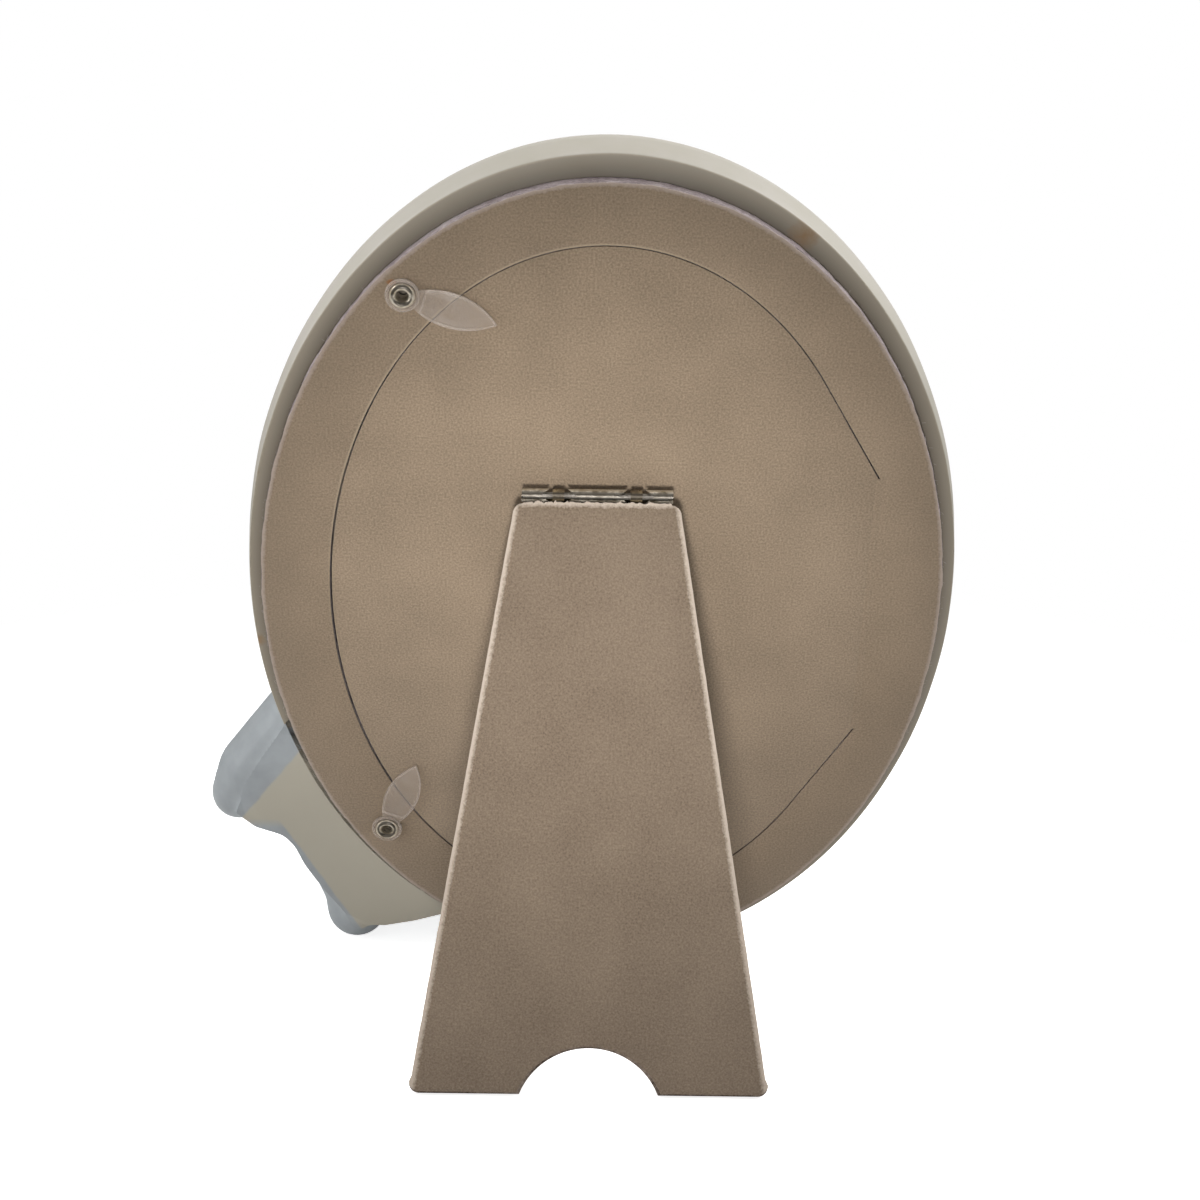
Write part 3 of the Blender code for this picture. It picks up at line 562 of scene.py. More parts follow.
@dataclass(frozen=True)
class CalfPaint:
    """Grey paint on cast resin: satin, ending in a soft line where the bare cream back begins.

    Attributes:
        name: the material's name.
        grey: the paint.
        pale: the paint's lighter tone.
        cloud: size of the patches of both.
        cream: the bare resin of the back.
        back: depth at which the flat back lies.
        ear: the ear's paint line, as a direction across it and a distance.
        flank: the flank's paint line, as a direction across it and a distance.
        flank_top: height at which the flank's paint begins.
        fade: height over which it begins.
        wander: length and reach of the waves along the paint lines.
        grain: size of the surface grain, drawn coarser than the real one so that it shows.
    """

    name: str = "cast resin, grey paint with bare cream back"
    grey: str = "8a8f92"
    pale: str = "9a9fa2"
    cloud: float = 12 * MM
    cream: str = "a7a192"
    back: float = FLAT_BACK
    ear: Place = (0.801, 0.599, 36.8 * MM)
    flank: Place = (0.884, -0.469, 117.0 * MM)
    flank_top: float = -76.0 * MM
    fade: float = 3 * MM
    wander: Point = (5 * MM, 1.3 * MM)
    grain: float = 0.9 * MM

    def build(self, matrix: Matrix) -> bpy.types.Material:
        """Build the finish.

        Args:
            matrix: placement of the board.

        Returns:
            The material.
        """
        tree = Tree(self.name)
        where = tree.place(matrix)
        _, depth, height = tree.add("SeparateXYZ", {0: where}).node.outputs
        flat = tree.roughened(depth, where, *self.wander)
        flat = tree.add("MapRange", {0: flat, 1: self.back - 0.1 * MM, 2: self.back + 0.35 * MM})
        painted = []
        for across, up, distance in (self.ear, self.flank):
            past = tree.add("VectorMath", {0: where, 1: (across, 0.0, up)}, "Value",
                            operation="DOT_PRODUCT")
            past = tree.add("Math", {0: past, 1: distance}, operation="SUBTRACT")
            past = tree.roughened(past, where, *self.wander)
            painted.append(tree.add("MapRange", {0: past, 1: 0.3 * MM, 2: 1.0 * MM}))
        low = tree.add("MapRange", {0: height, 1: self.flank_top - self.fade, 2: self.flank_top,
                                    3: 1.0, 4: 0.0})
        flank = tree.add("Math", {0: painted[1], 1: low}, operation="MULTIPLY")
        covered = tree.add("Math", {0: painted[0], 1: flank}, operation="MAXIMUM")
        bare = tree.add("Math", {0: 1.0, 1: covered}, operation="SUBTRACT")
        bare = tree.add("Math", {0: flat, 1: bare}, operation="MULTIPLY")
        paint, _ = tree.clouded(where, self.cloud, self.grey, self.pale, 3.0, 0.6)
        fine = tree.add("TexNoise", {"Vector": where, "Scale": 1 / self.grain, "Detail": 3.0})
        return tree.finish({"Base Color": tree.tinted(paint, bare, self.cream), "Roughness": 0.42},
                           fine, 0.02 * MM)


@dataclass(frozen=True)
class Metal:
    """Plated sheet metal: bright and finely worn, with a painted reflection of the dark room behind the
    camera.

    Its dulled plating scatters a part of the light.

    Attributes:
        name: the material's name.
        light: bright colour.
        dark: tarnished colour.
        room: colour of the painted reflection of the room.
        toward: direction of that room.
        roughness: of the bright parts.
        wear: size of the tarnished patches.
        clean: share of the light that is mirrored as by clean metal.
        grain: size of the surface grain, drawn coarser than the real one so that it shows.
    """

    name: str = "nickel-plated steel, stamped"
    light: str = "d8d0c0"
    dark: str = "9c8f78"
    room: str = "2a241d"
    toward: Place = (0.0, 0.955, 0.297)
    roughness: float = 0.22
    wear: float = 2.5 * MM
    clean: float = 0.6
    grain: float = 0.5 * MM

    def build(self, matrix: Matrix) -> bpy.types.Material:
        """Build the finish.

        Args:
            matrix: placement of the piece.

        Returns:
            The material.
        """
        tree = Tree(self.name)
        where = tree.place(matrix)
        wear = tree.add("TexNoise", {"Vector": where, "Scale": 1 / self.wear, "Detail": 4.0,
                                     "Roughness": 0.6})
        share = tree.add("MapRange", {0: wear, 1: 0.38, 2: 0.66})
        colour = tree.add("Mix", {0: share, 6: linear(self.light), 7: linear(self.dark)}, 2,
                          data_type="RGBA")
        # Painted reflection: faces turned towards the camera take the dark room's colour
        normal = tree.add("TexCoord", out="Normal")
        facing = tree.add("VectorMath", {0: normal, 1: self.toward}, "Value", operation="DOT_PRODUCT")
        shake = tree.add("MapRange", {0: wear, 1: 0.3, 2: 0.7, 3: -0.06, 4: 0.06})
        facing = tree.add("Math", {0: facing, 1: shake}, operation="ADD")
        share = tree.add("MapRange", {0: facing, 1: 0.76, 2: 0.88, 4: 0.92})
        rough = tree.add("MapRange", {0: wear, 1: 0.3, 2: 0.7, 3: self.roughness,
                                      4: self.roughness + 0.2})
        fine = tree.add("TexNoise", {"Vector": where, "Scale": 1 / self.grain, "Detail": 2.0})
        return tree.finish({"Base Color": tree.tinted(colour, share, self.room), "Roughness": rough,
                            "Metallic": self.clean}, fine, 0.01 * MM)


@dataclass(frozen=True)
class Frosted:
    """Frosted plastic of the turn clips: nearly clear, and whiter where it is seen edge on.

    Attributes:
        name: the material's name.
        tint: colour of the plastic.
        cover: share of light that the surface keeps.
        edge: how much more it keeps where it is seen edge on.
        cloud: size of the cloudy patches.
        grain: size of the surface grain, drawn coarser than the real one so that it shows.
    """

    name: str = "frosted polypropylene, moulded"
    tint: str = "cfc1b4"
    cover: float = 0.17
    edge: float = 0.4
    cloud: float = 3 * MM
    grain: float = 0.6 * MM

    def build(self, matrix: Matrix) -> bpy.types.Material:
        """Build the finish.

        Args:
            matrix: placement of the board.

        Returns:
            The material.
        """
        tree = Tree(self.name)
        where = tree.place(matrix)
        clouds = tree.add("TexNoise", {"Vector": where, "Scale": 1 / self.cloud, "Detail": 3.0})
        cover = tree.add("MapRange", {0: clouds, 1: 0.3, 2: 0.7, 3: self.cover - 0.05,
                                      4: self.cover + 0.05})
        rim = tree.add("LayerWeight", {"Blend": 0.35}, "Facing")
        rim = tree.add("MapRange", {0: rim, 1: 0.2, 2: 0.8, 4: self.edge})
        cover = tree.add("Math", {0: cover, 1: rim}, operation="ADD")
        fine = tree.add("TexNoise", {"Vector": where, "Scale": 1 / self.grain, "Detail": 2.0})
        return tree.finish({"Base Color": linear(self.tint), "Roughness": 0.32, "Alpha": cover,
                            "Specular IOR Level": 0.6}, fine, 0.02 * MM)


@dataclass(frozen=True)
class Plain:
    """A sheet or small piece of one even colour with a faint grain.

    Attributes:
        name: the material's name.
        light: main colour.
        dark: colour of the grain.
        roughness: of the surface.
        grain: size of the grain.
        transmission: share of light let through.
    """

    name: str
    light: str
    dark: str
    roughness: float
    grain: float = 2 * MM
    transmission: float = 0.0

    def build(self, matrix: Matrix) -> bpy.types.Material:
        """Build the finish.

        Args:
            matrix: placement of the piece.

        Returns:
            The material.
        """
        tree = Tree(self.name)
        colour, grain = tree.clouded(tree.place(matrix), self.grain, self.dark, self.light)
        return tree.finish({"Base Color": colour, "Roughness": self.roughness,
                            "Transmission Weight": self.transmission}, grain, 0.01 * MM)


def oval(half_width: float, half_height: float, rise: float = 0.0, facets: int = 240) -> List[Point]:
    """Return the points of an upright oval.

    Args:
        half_width: half of its width.
        half_height: half of its height.
        rise: height of its centre.
        facets: number of points.

    Returns:
        Points in the board's plane.
    """
    angles = [2 * pi * index / facets for index in range(facets)]
    return [(half_width * cos(angle), rise + half_height * sin(angle)) for angle in angles]


def arc(centre: Point, radii: Point, start: float, end: float, steps: int) -> List[Point]:
    """Return points along part of an ellipse, both ends included.

    Args:
        centre: its centre.
        radii: its two half-axes.
        start: first angle.
        end: last angle.
        steps: number of segments.

    Returns:
        The points.
    """
    angles = [start + (end - start) * index / steps for index in range(steps + 1)]
    return [(centre[0] + radii[0] * cos(angle), centre[1] + radii[1] * sin(angle)) for angle in angles]


def placed(name: str, data: Any) -> bpy.types.Object:
    """Add an object to the scene.

    Args:
        name: its name.
        data: its mesh, curve, light or camera.

    Returns:
        The object.
    """
    item = bpy.data.objects.new(name, data)
    bpy.context.scene.collection.objects.link(item)
    return item


def frozen(item: bpy.types.Object) -> bpy.types.Mesh:
    """Return an object's shape, with its modifiers applied, as a mesh of its own.

    Args:
        item: the source object.

    Returns:
        The mesh.
    """
    bpy.context.view_layer.update()
    graph = bpy.context.evaluated_depsgraph_get()
    return bpy.data.meshes.new_from_object(item.evaluated_get(graph))


def baked(work: bmesh.types.BMesh, mesh: bpy.types.Mesh) -> bpy.types.Mesh:
    """Turn all faces outward, write them to a mesh and free the working copy.

    Args:
        work: the faces.
        mesh: the mesh that gets them.

    Returns:
        The mesh.
    """
    bmesh.ops.recalc_face_normals(work, faces=work.faces)
    work.to_mesh(mesh)
    work.free()
    return mesh


class Piece:
    """One finished piece that rides on a body of the part."""

    def __init__(self, name: str, mesh: bpy.types.Mesh, material: bpy.types.Material, body: Body,
                 nodes: Sequence[str] = (), slot: str = "", smooth: float = radians(40)) -> None:
        """Add the piece to the scene.

        Args:
            name: its name.
            mesh: its shape in scene coordinates.
            material: its finish.
            body: the body that carries it.
            nodes: CAD nodes that it stands for.
            slot: the record's material slot; not used.
            smooth: greatest angle that is shaded smooth.
        """
        self.object = placed(name, mesh)
        mesh.name = name
        if not mesh.materials:
            mesh.materials.append(material)
        mesh.shade_smooth()
        mesh.set_sharp_from_angle(angle=smooth)
        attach(self.object, body.value)
        if nodes:
            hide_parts(*nodes)
        log.info("%s: %d faces", name, len(mesh.polygons))


def evaluated(item: bpy.types.Object, matrix: Matrix) -> bpy.types.Mesh:
    """Turn an object with its modifiers into a mesh in scene coordinates and drop the object.

    Args:
        item: the source object.
        matrix: placement put on top of the object's own.

    Returns:
        The mesh.
    """
    mesh = frozen(item)
    work = bmesh.new()
    work.from_mesh(mesh)
    bmesh.ops.remove_doubles(work, verts=work.verts, dist=0.002 * MM)
    bmesh.ops.transform(work, matrix=matrix @ item.matrix_world, verts=work.verts)
    bpy.data.objects.remove(item, do_unlink=True)
    return baked(work, mesh)


def add_spline(curve: bpy.types.Curve, points: Sequence[Sequence[float]]) -> None:
    """Add one closed straight-sided spline.

    Args:
        curve: the curve that gets it.
        points: its corners.
    """
    spline = curve.splines.new("POLY")
    spline.points.add(len(points) - 1)
    for target, point in zip(spline.points, points):
        target.co = (point[0], point[1], 0.0, 1.0)
    spline.use_cyclic_u = True


def plate(outlines: Sequence[Sequence[Point]], front: float, back: float, edge: float,
          matrix: Matrix) -> bpy.types.Mesh:
    """Make a flat sheet with rounded edges.

    Args:
        outlines: its outline and its holes, in the board's plane.
        front: depth of its front face.
        back: depth of its back face.
        edge: radius of its edges.
        matrix: placement in the scene.

    Returns:
        The mesh.
    """
    curve = bpy.data.curves.new("sheet", "CURVE")
    curve.dimensions = "2D"
    curve.fill_mode = "BOTH"
    curve.offset = -edge
    curve.extrude = (back - front) / 2 - edge
    curve.bevel_depth = edge
    curve.bevel_resolution = 1
    for outline in outlines:
        add_spline(curve, outline)
    item = placed("sheet", curve)
    item.location = (0.0, (front + back) / 2, 0.0)
    item.rotation_euler = (pi / 2, 0.0, 0.0)
    return evaluated(item, matrix)


def turned(profile: Sequence[Point], matrix: Matrix, steps: int = 64) -> bpy.types.Mesh:
    """Turn a closed profile about the board's normal.

    Args:
        profile: (radius, depth) points.
        matrix: placement in the scene.
        steps: segments round.

    Returns:
        The mesh.
    """
    mesh = bpy.data.meshes.new("turned")
    corners = [(radius, 0.0, height) for radius, height in profile]
    mesh.from_pydata(corners, [(index, (index + 1) % len(corners)) for index in range(len(corners))], [])
    item = placed("turned", mesh)
    screw = item.modifiers.new("turn", "SCREW")
    screw.steps = steps
    screw.render_steps = steps
    screw.use_merge_vertices = True
    screw.merge_threshold = 0.001 * MM
    item.rotation_euler = (-pi / 2, 0.0, 0.0)
    return evaluated(item, matrix)


@dataclass(frozen=True)
class RingSize:
    """Sizes of the cast ring.

    Attributes:
        half_width: of the back edge.
        half_height: of the back edge.
        rise: height of the ring's centre over the board's.
        back: depth of the flat back.
        flare: how far the wall widens towards its widest line.
        wall: depth of that line from the back.
        width: of the moulding.
        depth: of the moulding.
        crest: distance of the crest inside the back edge.
        cove: how far the cove drops towards the picture.
        bead: radius of the bead at the picture.
        lip: width of the lip inside the bead.
        ledge: width of the glass ledge.
        ledge_depth: depth of that ledge.
        round_edge: radius of the back edge.
        swell: how far the cast wall wanders from the oval.
        swell_length: size of those wanderings.
    """

    half_width: float = 94.3 * MM
    half_height: float = 124.4 * MM
    rise: float = 0.9 * MM
    back: float = FLAT_BACK
    flare: float = 1.0 * MM
    wall: float = 7.6 * MM
    width: float = 37.0 * MM
    depth: float = 22.0 * MM
    crest: float = 13.0 * MM
    cove: float = 7.0 * MM
    bead: float = 1.9 * MM
    lip: float = 3.2 * MM
    ledge: float = 5.0 * MM
    ledge_depth: float = -10.3 * MM
    round_edge: float = 0.7 * MM
    swell: float = 0.12 * MM
    swell_length: float = 18 * MM

    def profile(self) -> List[Point]:
        """Return the moulding's section as (distance inside the back edge, depth) points."""
        front = self.back - self.depth
        points = arc((-self.round_edge, self.back - self.round_edge), (self.round_edge, self.round_edge),
                     pi / 2, 0.0, 5)
        points += arc((-self.crest, self.back - self.wall),
                      (self.flare + self.crest, self.depth - self.wall), 0.0, -pi / 2, 18)
        bead = -self.width + self.lip + self.bead
        end = bead + self.bead
        for index in range(1, 13):
            share = index / 12
            points.append((-self.crest + (end + self.crest) * share,
                           front + self.cove * (1 - cos(pi / 2 * share))))
        points += arc((bead, front + self.cove), (self.bead, self.bead), 0.0, -pi, 12)[1:]
        points += [(-self.width, front + self.cove + self.lip / 2), (-self.width, self.ledge_depth),
                   (-self.width + self.ledge, self.ledge_depth), (-self.width + self.ledge, self.back)]
        return points


class Ring:
    """The cast ring that holds the picture."""

    def __init__(self, size: RingSize, finish: bpy.types.Material) -> None:
        """Sweep the moulding round the oval.

        Args:
            size: the ring's sizes.
            finish: its material.
        """
        self.size = size
        Piece("ring_moulding", self.sweep(), finish, Body.FRAME, ["frame_ring"], "cast_resin", radians(32))

    def sweep(self) -> bpy.types.Mesh:
        """Return the moulding with a ground foot, in scene coordinates."""
        size = self.size
        edge = [Vector(point) for point in oval(size.half_width, size.half_height, size.rise)]
        profile = size.profile()
        matrix = STANCE.board()
        work = bmesh.new()
        loops = []
        for index, point in enumerate(edge):
            along = (edge[(index + 1) % len(edge)] - edge[index - 1]).normalized()
            outward = Vector((along.y, -along.x))
            loop = []
            for across, depth in profile:
                spot = point + outward * across
                swell = size.swell * noise.noise(Vector((spot.x, depth, spot.y)) / size.swell_length)
                place = matrix @ Vector((spot.x + outward.x * swell, depth, spot.y + outward.y * swell))
                place.z = max(place.z, 0.0)
                loop.append(work.verts.new(place))
            loops.append(loop)
        for index, loop in enumerate(loops):
            other = loops[(index + 1) % len(loops)]
            for step in range(len(profile)):
                after = (step + 1) % len(profile)
                work.faces.new((loop[step], loop[after], other[after], other[step]))
        return baked(work, bpy.data.meshes.new("ring"))


@dataclass(frozen=True)
class BoardSize:
    """Sizes of the back board, its door and their flocked skin.

    Attributes:
        half_width: of the board.
        half_height: of the board.
        front: depth of the board's front face.
        skin: thickness of the skin.
        glue: gap between board and skin.
        door_width: half of the door's width.
        door_height: half of the door's height.
        door_rise: height of the door's centre.
        crease: distance of the crease from the middle.
        crease_half: half of the crease's length.
        holes: the eyelets' places.
        hole: radius of the eyelets' holes.
        clips: directions of the clips' blades on them.
        fold: half of the width of skin that bends at the crease.
        steps: rows of faces across that width.
    """

    half_width: float = 90.6 * MM
    half_height: float = 119.4 * MM
    front: float = -3.7 * MM
    skin: float = 0.4 * MM
    glue: float = 0.02 * MM
    door_width: float = 72.3 * MM
    door_height: float = 102.1 * MM
    door_rise: float = 1.4 * MM
    crease: float = 71.0 * MM
    crease_half: float = 39.4 * MM
    holes: Tuple[Point, ...] = ((50.1 * MM, 90.2 * MM), (60.2 * MM, -74.9 * MM))
    hole: float = 2.2 * MM
    clips: Point = (radians(198.2), radians(112.0))
    fold: float = 0.9 * MM
    steps: int = 12

    def door(self, grow: Callable[[float], float]) -> List[Point]:
        """Return the door's outline, whose oval runs off straight to both ends of the crease.

        Args:
            grow: extra radius at an angle round the oval.

        Returns:
            Points in the board's plane.
        """
        across = self.crease / self.door_width
        up = self.crease_half / self.door_height
        touch = atan2(up, across) + acos(1 / hypot(across, up))
        count = 220
        points = []
        for index in range(count + 1):
            angle = touch + (2 * pi - 2 * touch) * index / count
            extra = grow(pi - angle)
            points.append(((self.door_width + extra) * cos(angle),
                           self.door_rise + (self.door_height + extra) * sin(angle)))
        extra = grow(pi)
        straight = []
        for side in (-1, 1):
            corner = (self.crease + extra, self.door_rise + side * (self.crease_half + extra))
            touching = points[-1] if side < 0 else points[0]
            steps = [(touching[0] + (corner[0] - touching[0]) * share / 24,
                      touching[1] + (corner[1] - touching[1]) * share / 24) for share in range(1, 25)]
            straight.append(steps)
        points += straight[0]
        points += list(reversed(straight[1]))
        return [(-x, z) for x, z in points]


class BackBoard:
    """The rim of board glued to the ring, the door cut from it and the skin on both."""

    def __init__(self, size: BoardSize, flock: bpy.types.Material, torn: bpy.types.Material) -> None:
        """Build rim, door and the fold between them.

        Args:
            size: the board's sizes.
            flock: the skin's material.
            torn: the raw board's material.
        """
        self.size = size
        self.flock = flock
        self.torn = torn
        self.rim()
        self.door()
        self.fold()

    def ragged(self, points: Sequence[Point], amount: float, seed: float) -> List[Point]:
        """Return an outline with the small waves of a hand-fed cut.

        Args:
            points: the clean outline.
            amount: size of the waves.
            seed: which waves.

        Returns:
            The wavy outline.
        """
        made = []
        for x, z in points:
            spot = Vector((x, seed, z))
            wave = noise.noise(spot / (6 * MM)) + 0.6 * noise.noise(spot / (1.7 * MM))
            far = hypot(x, z)
            made.append((x + amount * wave * x / far, z + amount * wave * z / far))
        return made

    def slit(self, angle: float) -> float:
        """Return how far the door's edge stands back: open at the clip side, pressed shut at the top.

        Args:
            angle: place round the oval, from the clip side.

        Returns:
            The extra radius, which is negative.
        """
        left = max(0.0, cos(angle))
        right = max(0.0, -cos(angle))
        low = max(0.0, -sin(angle))
        return -MM * (0.09 + 0.36 * left ** 4 + 0.25 * low * left + 0.14 * right + 0.1 * low)

    def rim(self) -> None:
        """Build the rim's board and skin."""
        size = self.size
        matrix = STANCE.board()
        edge = oval(size.half_width, size.half_height, facets=720)
        cut = size.door(lambda angle: 0.04 * MM)
        holes = [[(x + size.hole * cos(2 * pi * k / 40), z + size.hole * sin(2 * pi * k / 40))
                  for k in range(40)] for x, z in size.holes]
        core_edge = self.ragged(edge, 0.22 * MM, 3.0)
        core = plate([core_edge, cut, *holes], size.front, -size.skin - size.glue, 0.08 * MM, matrix)
        Piece("rim_board", core, self.torn, Body.FRAME, ["back_board"], "grey_board")
        skin_edge = self.ragged(edge, 0.3 * MM, 7.0)
        skin = plate([skin_edge, cut, *holes], -size.skin, 0.0, 0.1 * MM, matrix)
        Piece("rim_flock", skin, self.flock, Body.FRAME, ["back_board_flock"], "flock")

    def door(self) -> None:
        """Build the door's board and skin."""
        size = self.size
        matrix = STANCE.board()
        outline = size.door(self.slit)
        core = plate([outline], size.front, -size.skin - size.glue, 0.08 * MM, matrix)
        Piece("door_core", core, self.torn, Body.DOOR, ["door_board"], "grey_board")
        skin = plate([self.ragged(outline, 0.05 * MM, 5.0)], -size.skin, 0.0, 0.12 * MM, matrix)
        Piece("door_skin", skin, self.flock, Body.DOOR, ["door_flock"], "flock")

    def fold(self) -> None:
        """Build the strip of skin that bends where the door is creased."""
        size = self.size
        matrix = STANCE.board()
        half = size.fold
        steps = size.steps
        tall = size.crease_half + 0.1 * MM
        work = bmesh.new()
        rows = []
        for index in range(steps + 1):
            x = -size.crease - half + 2 * half * index / steps
            height = 0.05 * MM * (1 - (2 * index / steps - 1) ** 2) + 0.01 * MM
            rows.append([work.verts.new(matrix @ Vector((x, depth, size.door_rise + side * tall)))
                         for side in (-1, 1) for depth in (height, height - 0.06 * MM)])
        for first, second in zip(rows, rows[1:]):
            for a, b in ((0, 2), (2, 3), (3, 1), (1, 0)):
                work.faces.new((first[a], first[b], second[b], second[a]))
        work.faces.new(rows[0])
        work.faces.new(rows[-1])
        mesh = baked(work, bpy.data.meshes.new("fold"))
        item = placed("crease_fold", mesh)
        mesh.materials.append(self.flock)
        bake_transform(item)
        log.info("crease_fold: %d faces", len(mesh.polygons))


@dataclass(frozen=True)
class LegSize:
    """Sizes of the easel leg, in coordinates that hang from the hinge.

    Attributes:
        length: from the hinge line to the foot.
        top_width: width under the hinge.
        foot_width: width at the foot.
        thickness: of the board.
        skin: thickness of the skin.
        barrel: radius of the hinge barrel.
        gap: room under the barrel.
        arch_width: width of the arch.
        arch_height: height of the arch.
        shoulder: cut of the top corners.
        toe: cut of the bottom corners.
    """

    length: float = 157.1 * MM
    top_width: float = 42.4 * MM
    foot_width: float = 94.2 * MM
    thickness: float = 2.9 * MM
    skin: float = 0.4 * MM
    barrel: float = 1.75 * MM
    gap: float = 0.3 * MM
    arch_width: float = 36.4 * MM
    arch_height: float = 12.5 * MM
    shoulder: float = 3.0 * MM
    toe: float = 2.6 * MM

    def top(self) -> float:
        """Return the height of the leg's top edge."""
        return -self.barrel - self.gap

    def slope(self) -> float:
        """Return how much each side widens for each unit down."""
        return (self.foot_width - self.top_width) / 2 / (self.length + self.top())

    def outline(self, margin: float = 0.0, foot: float = 0.0) -> List[Point]:
        """Return the leg's outline.

        Args:
            margin: how far to draw it in at the top and sides.
            foot: how far to draw it in at the foot and arch.

        Returns:
            Points in the leg's plane.
        """
        top = self.top() - margin
        bottom = -self.length + foot
        top_half = self.top_width / 2 - margin
        foot_half = self.foot_width / 2 - margin
        slope = self.slope()
        arch_half = self.arch_width / 2 + foot
        radius = (arch_half ** 2 + self.arch_height ** 2) / (2 * self.arch_height)
        sweep = acos((radius - self.arch_height) / radius)
        arch = arc((0.0, bottom + self.arch_height - radius), (radius, radius), pi / 2 - sweep,
                   pi / 2 + sweep, 48)
        corner = (foot_half - self.toe, bottom + self.toe)
        toe = arc(corner, (self.toe, self.toe), 0.0, -pi / 2, 6)
        inset = self.shoulder * 0.7
        shoulder = (top_half - inset, top - self.shoulder)
        round_top = arc(shoulder, (inset + slope * self.shoulder, self.shoulder), pi / 2, 0.0, 5)
        side = []
        for index in range(1, 90):
            share = index / 90
            start = round_top[-1]
            side.append((start[0] + (toe[0][0] - slope * self.toe - start[0]) * share,
                         start[1] + (toe[0][1] - start[1]) * share))
        right = round_top + side + toe
        left = [(-x, z) for x, z in reversed(right)]
        return right + arch + left


class Leg:
    """The easel leg and its skin."""

    def __init__(self, size: LegSize, flock: bpy.types.Material, torn: bpy.types.Material) -> None:
        """Build board and skin.

        Args:
            size: the leg's sizes.
            flock: the skin's material.
            torn: the raw board's material.
        """
        matrix = STANCE.leg()
        half = size.thickness / 2
        core = plate([size.outline()], -half, half, 0.25 * MM, matrix)
        Piece("leg_core", core, torn, Body.LEG, ["leg_board"], "grey_board")
        outline = size.outline(0.02 * MM, 0.7 * MM)
        points = []
        for x, z in outline:
            wave = 0.08 * MM * noise.noise(Vector((x, 1.0, z)) / (2.2 * MM))
            points.append((x + wave, z + wave))
        start, end = outline[-1], outline[0]
        steps = 150
        for index in range(1, steps):
            x = start[0] + (end[0] - start[0]) * index / steps
            tear = 0.5 + 0.7 * noise.noise(Vector((x, 2.0, 0.0)) / (1.6 * MM))
            tear += 0.5 * noise.noise(Vector((x, 5.0, 0.0)) / (0.5 * MM))
            points.append((x, start[1] + min(1.05, max(0.0, tear)) * MM))
        skin = plate([points], half + 0.02 * MM, half + size.skin + 0.3 * MM, 0.2 * MM, matrix)
        Piece("leg_skin", skin, flock, Body.LEG, ["leg_flock"], "leg_flock")


@dataclass(frozen=True)
class ClipSize:
    """Sizes of a turn clip and its eyelet.

    Attributes:
        length: from the rivet to the tip.
        width: of the blade.
        thickness: of the blade.
        hub: radius of the hub.
        rim: height of the hub's rim.
        bore: radius of the hub's bore.
        hole: radius of the eyelet's hole.
        flange: radius of the eyelet's flange.
        clinch: radius of the spread end.
        front: depth of the board's front face.
    """

    length: float = 24.2 * MM
    width: float = 9.4 * MM
    thickness: float = 0.8 * MM
    hub: float = 4.3 * MM
    rim: float = 0.4 * MM
    bore: float = 2.2 * MM
    hole: float = 1.5 * MM
    flange: float = 3.2 * MM
    clinch: float = 2.8 * MM
    front: float = -3.7 * MM

    def blade(self) -> List[Point]:
        """Return the blade's pointed outline from the hub's middle to its tip."""
        half_length = self.length / 2
        half_width = self.width / 2
        radius = (half_length ** 2 + half_width ** 2) / (2 * half_width)
        sweep = acos((radius - half_width) / radius)
        upper = arc((half_length, half_width - radius), (radius, radius), pi / 2 + sweep, pi / 2 - sweep, 40)
        return upper + [(x, -z) for x, z in reversed(upper[1:-1])]

    def outline(self) -> List[Point]:
        """Return the outline of the hub and the blade in one."""
        upper = [point for point in self.blade() if hypot(*point) > self.hub and point[1] >= 0]
        lower = [point for point in self.blade() if hypot(*point) > self.hub and point[1] < 0]
        start = atan2(upper[0][1], upper[0][0])
        back = arc((0.0, 0.0), (self.hub, self.hub), -start, start - 2 * pi, 48)
        return upper + lower + back

    def bore_edge(self) -> List[Point]:
        """Return the outline of the hub's bore."""
        return arc((0.0, 0.0), (self.bore, self.bore), 0.0, 2 * pi * 47 / 48, 47)


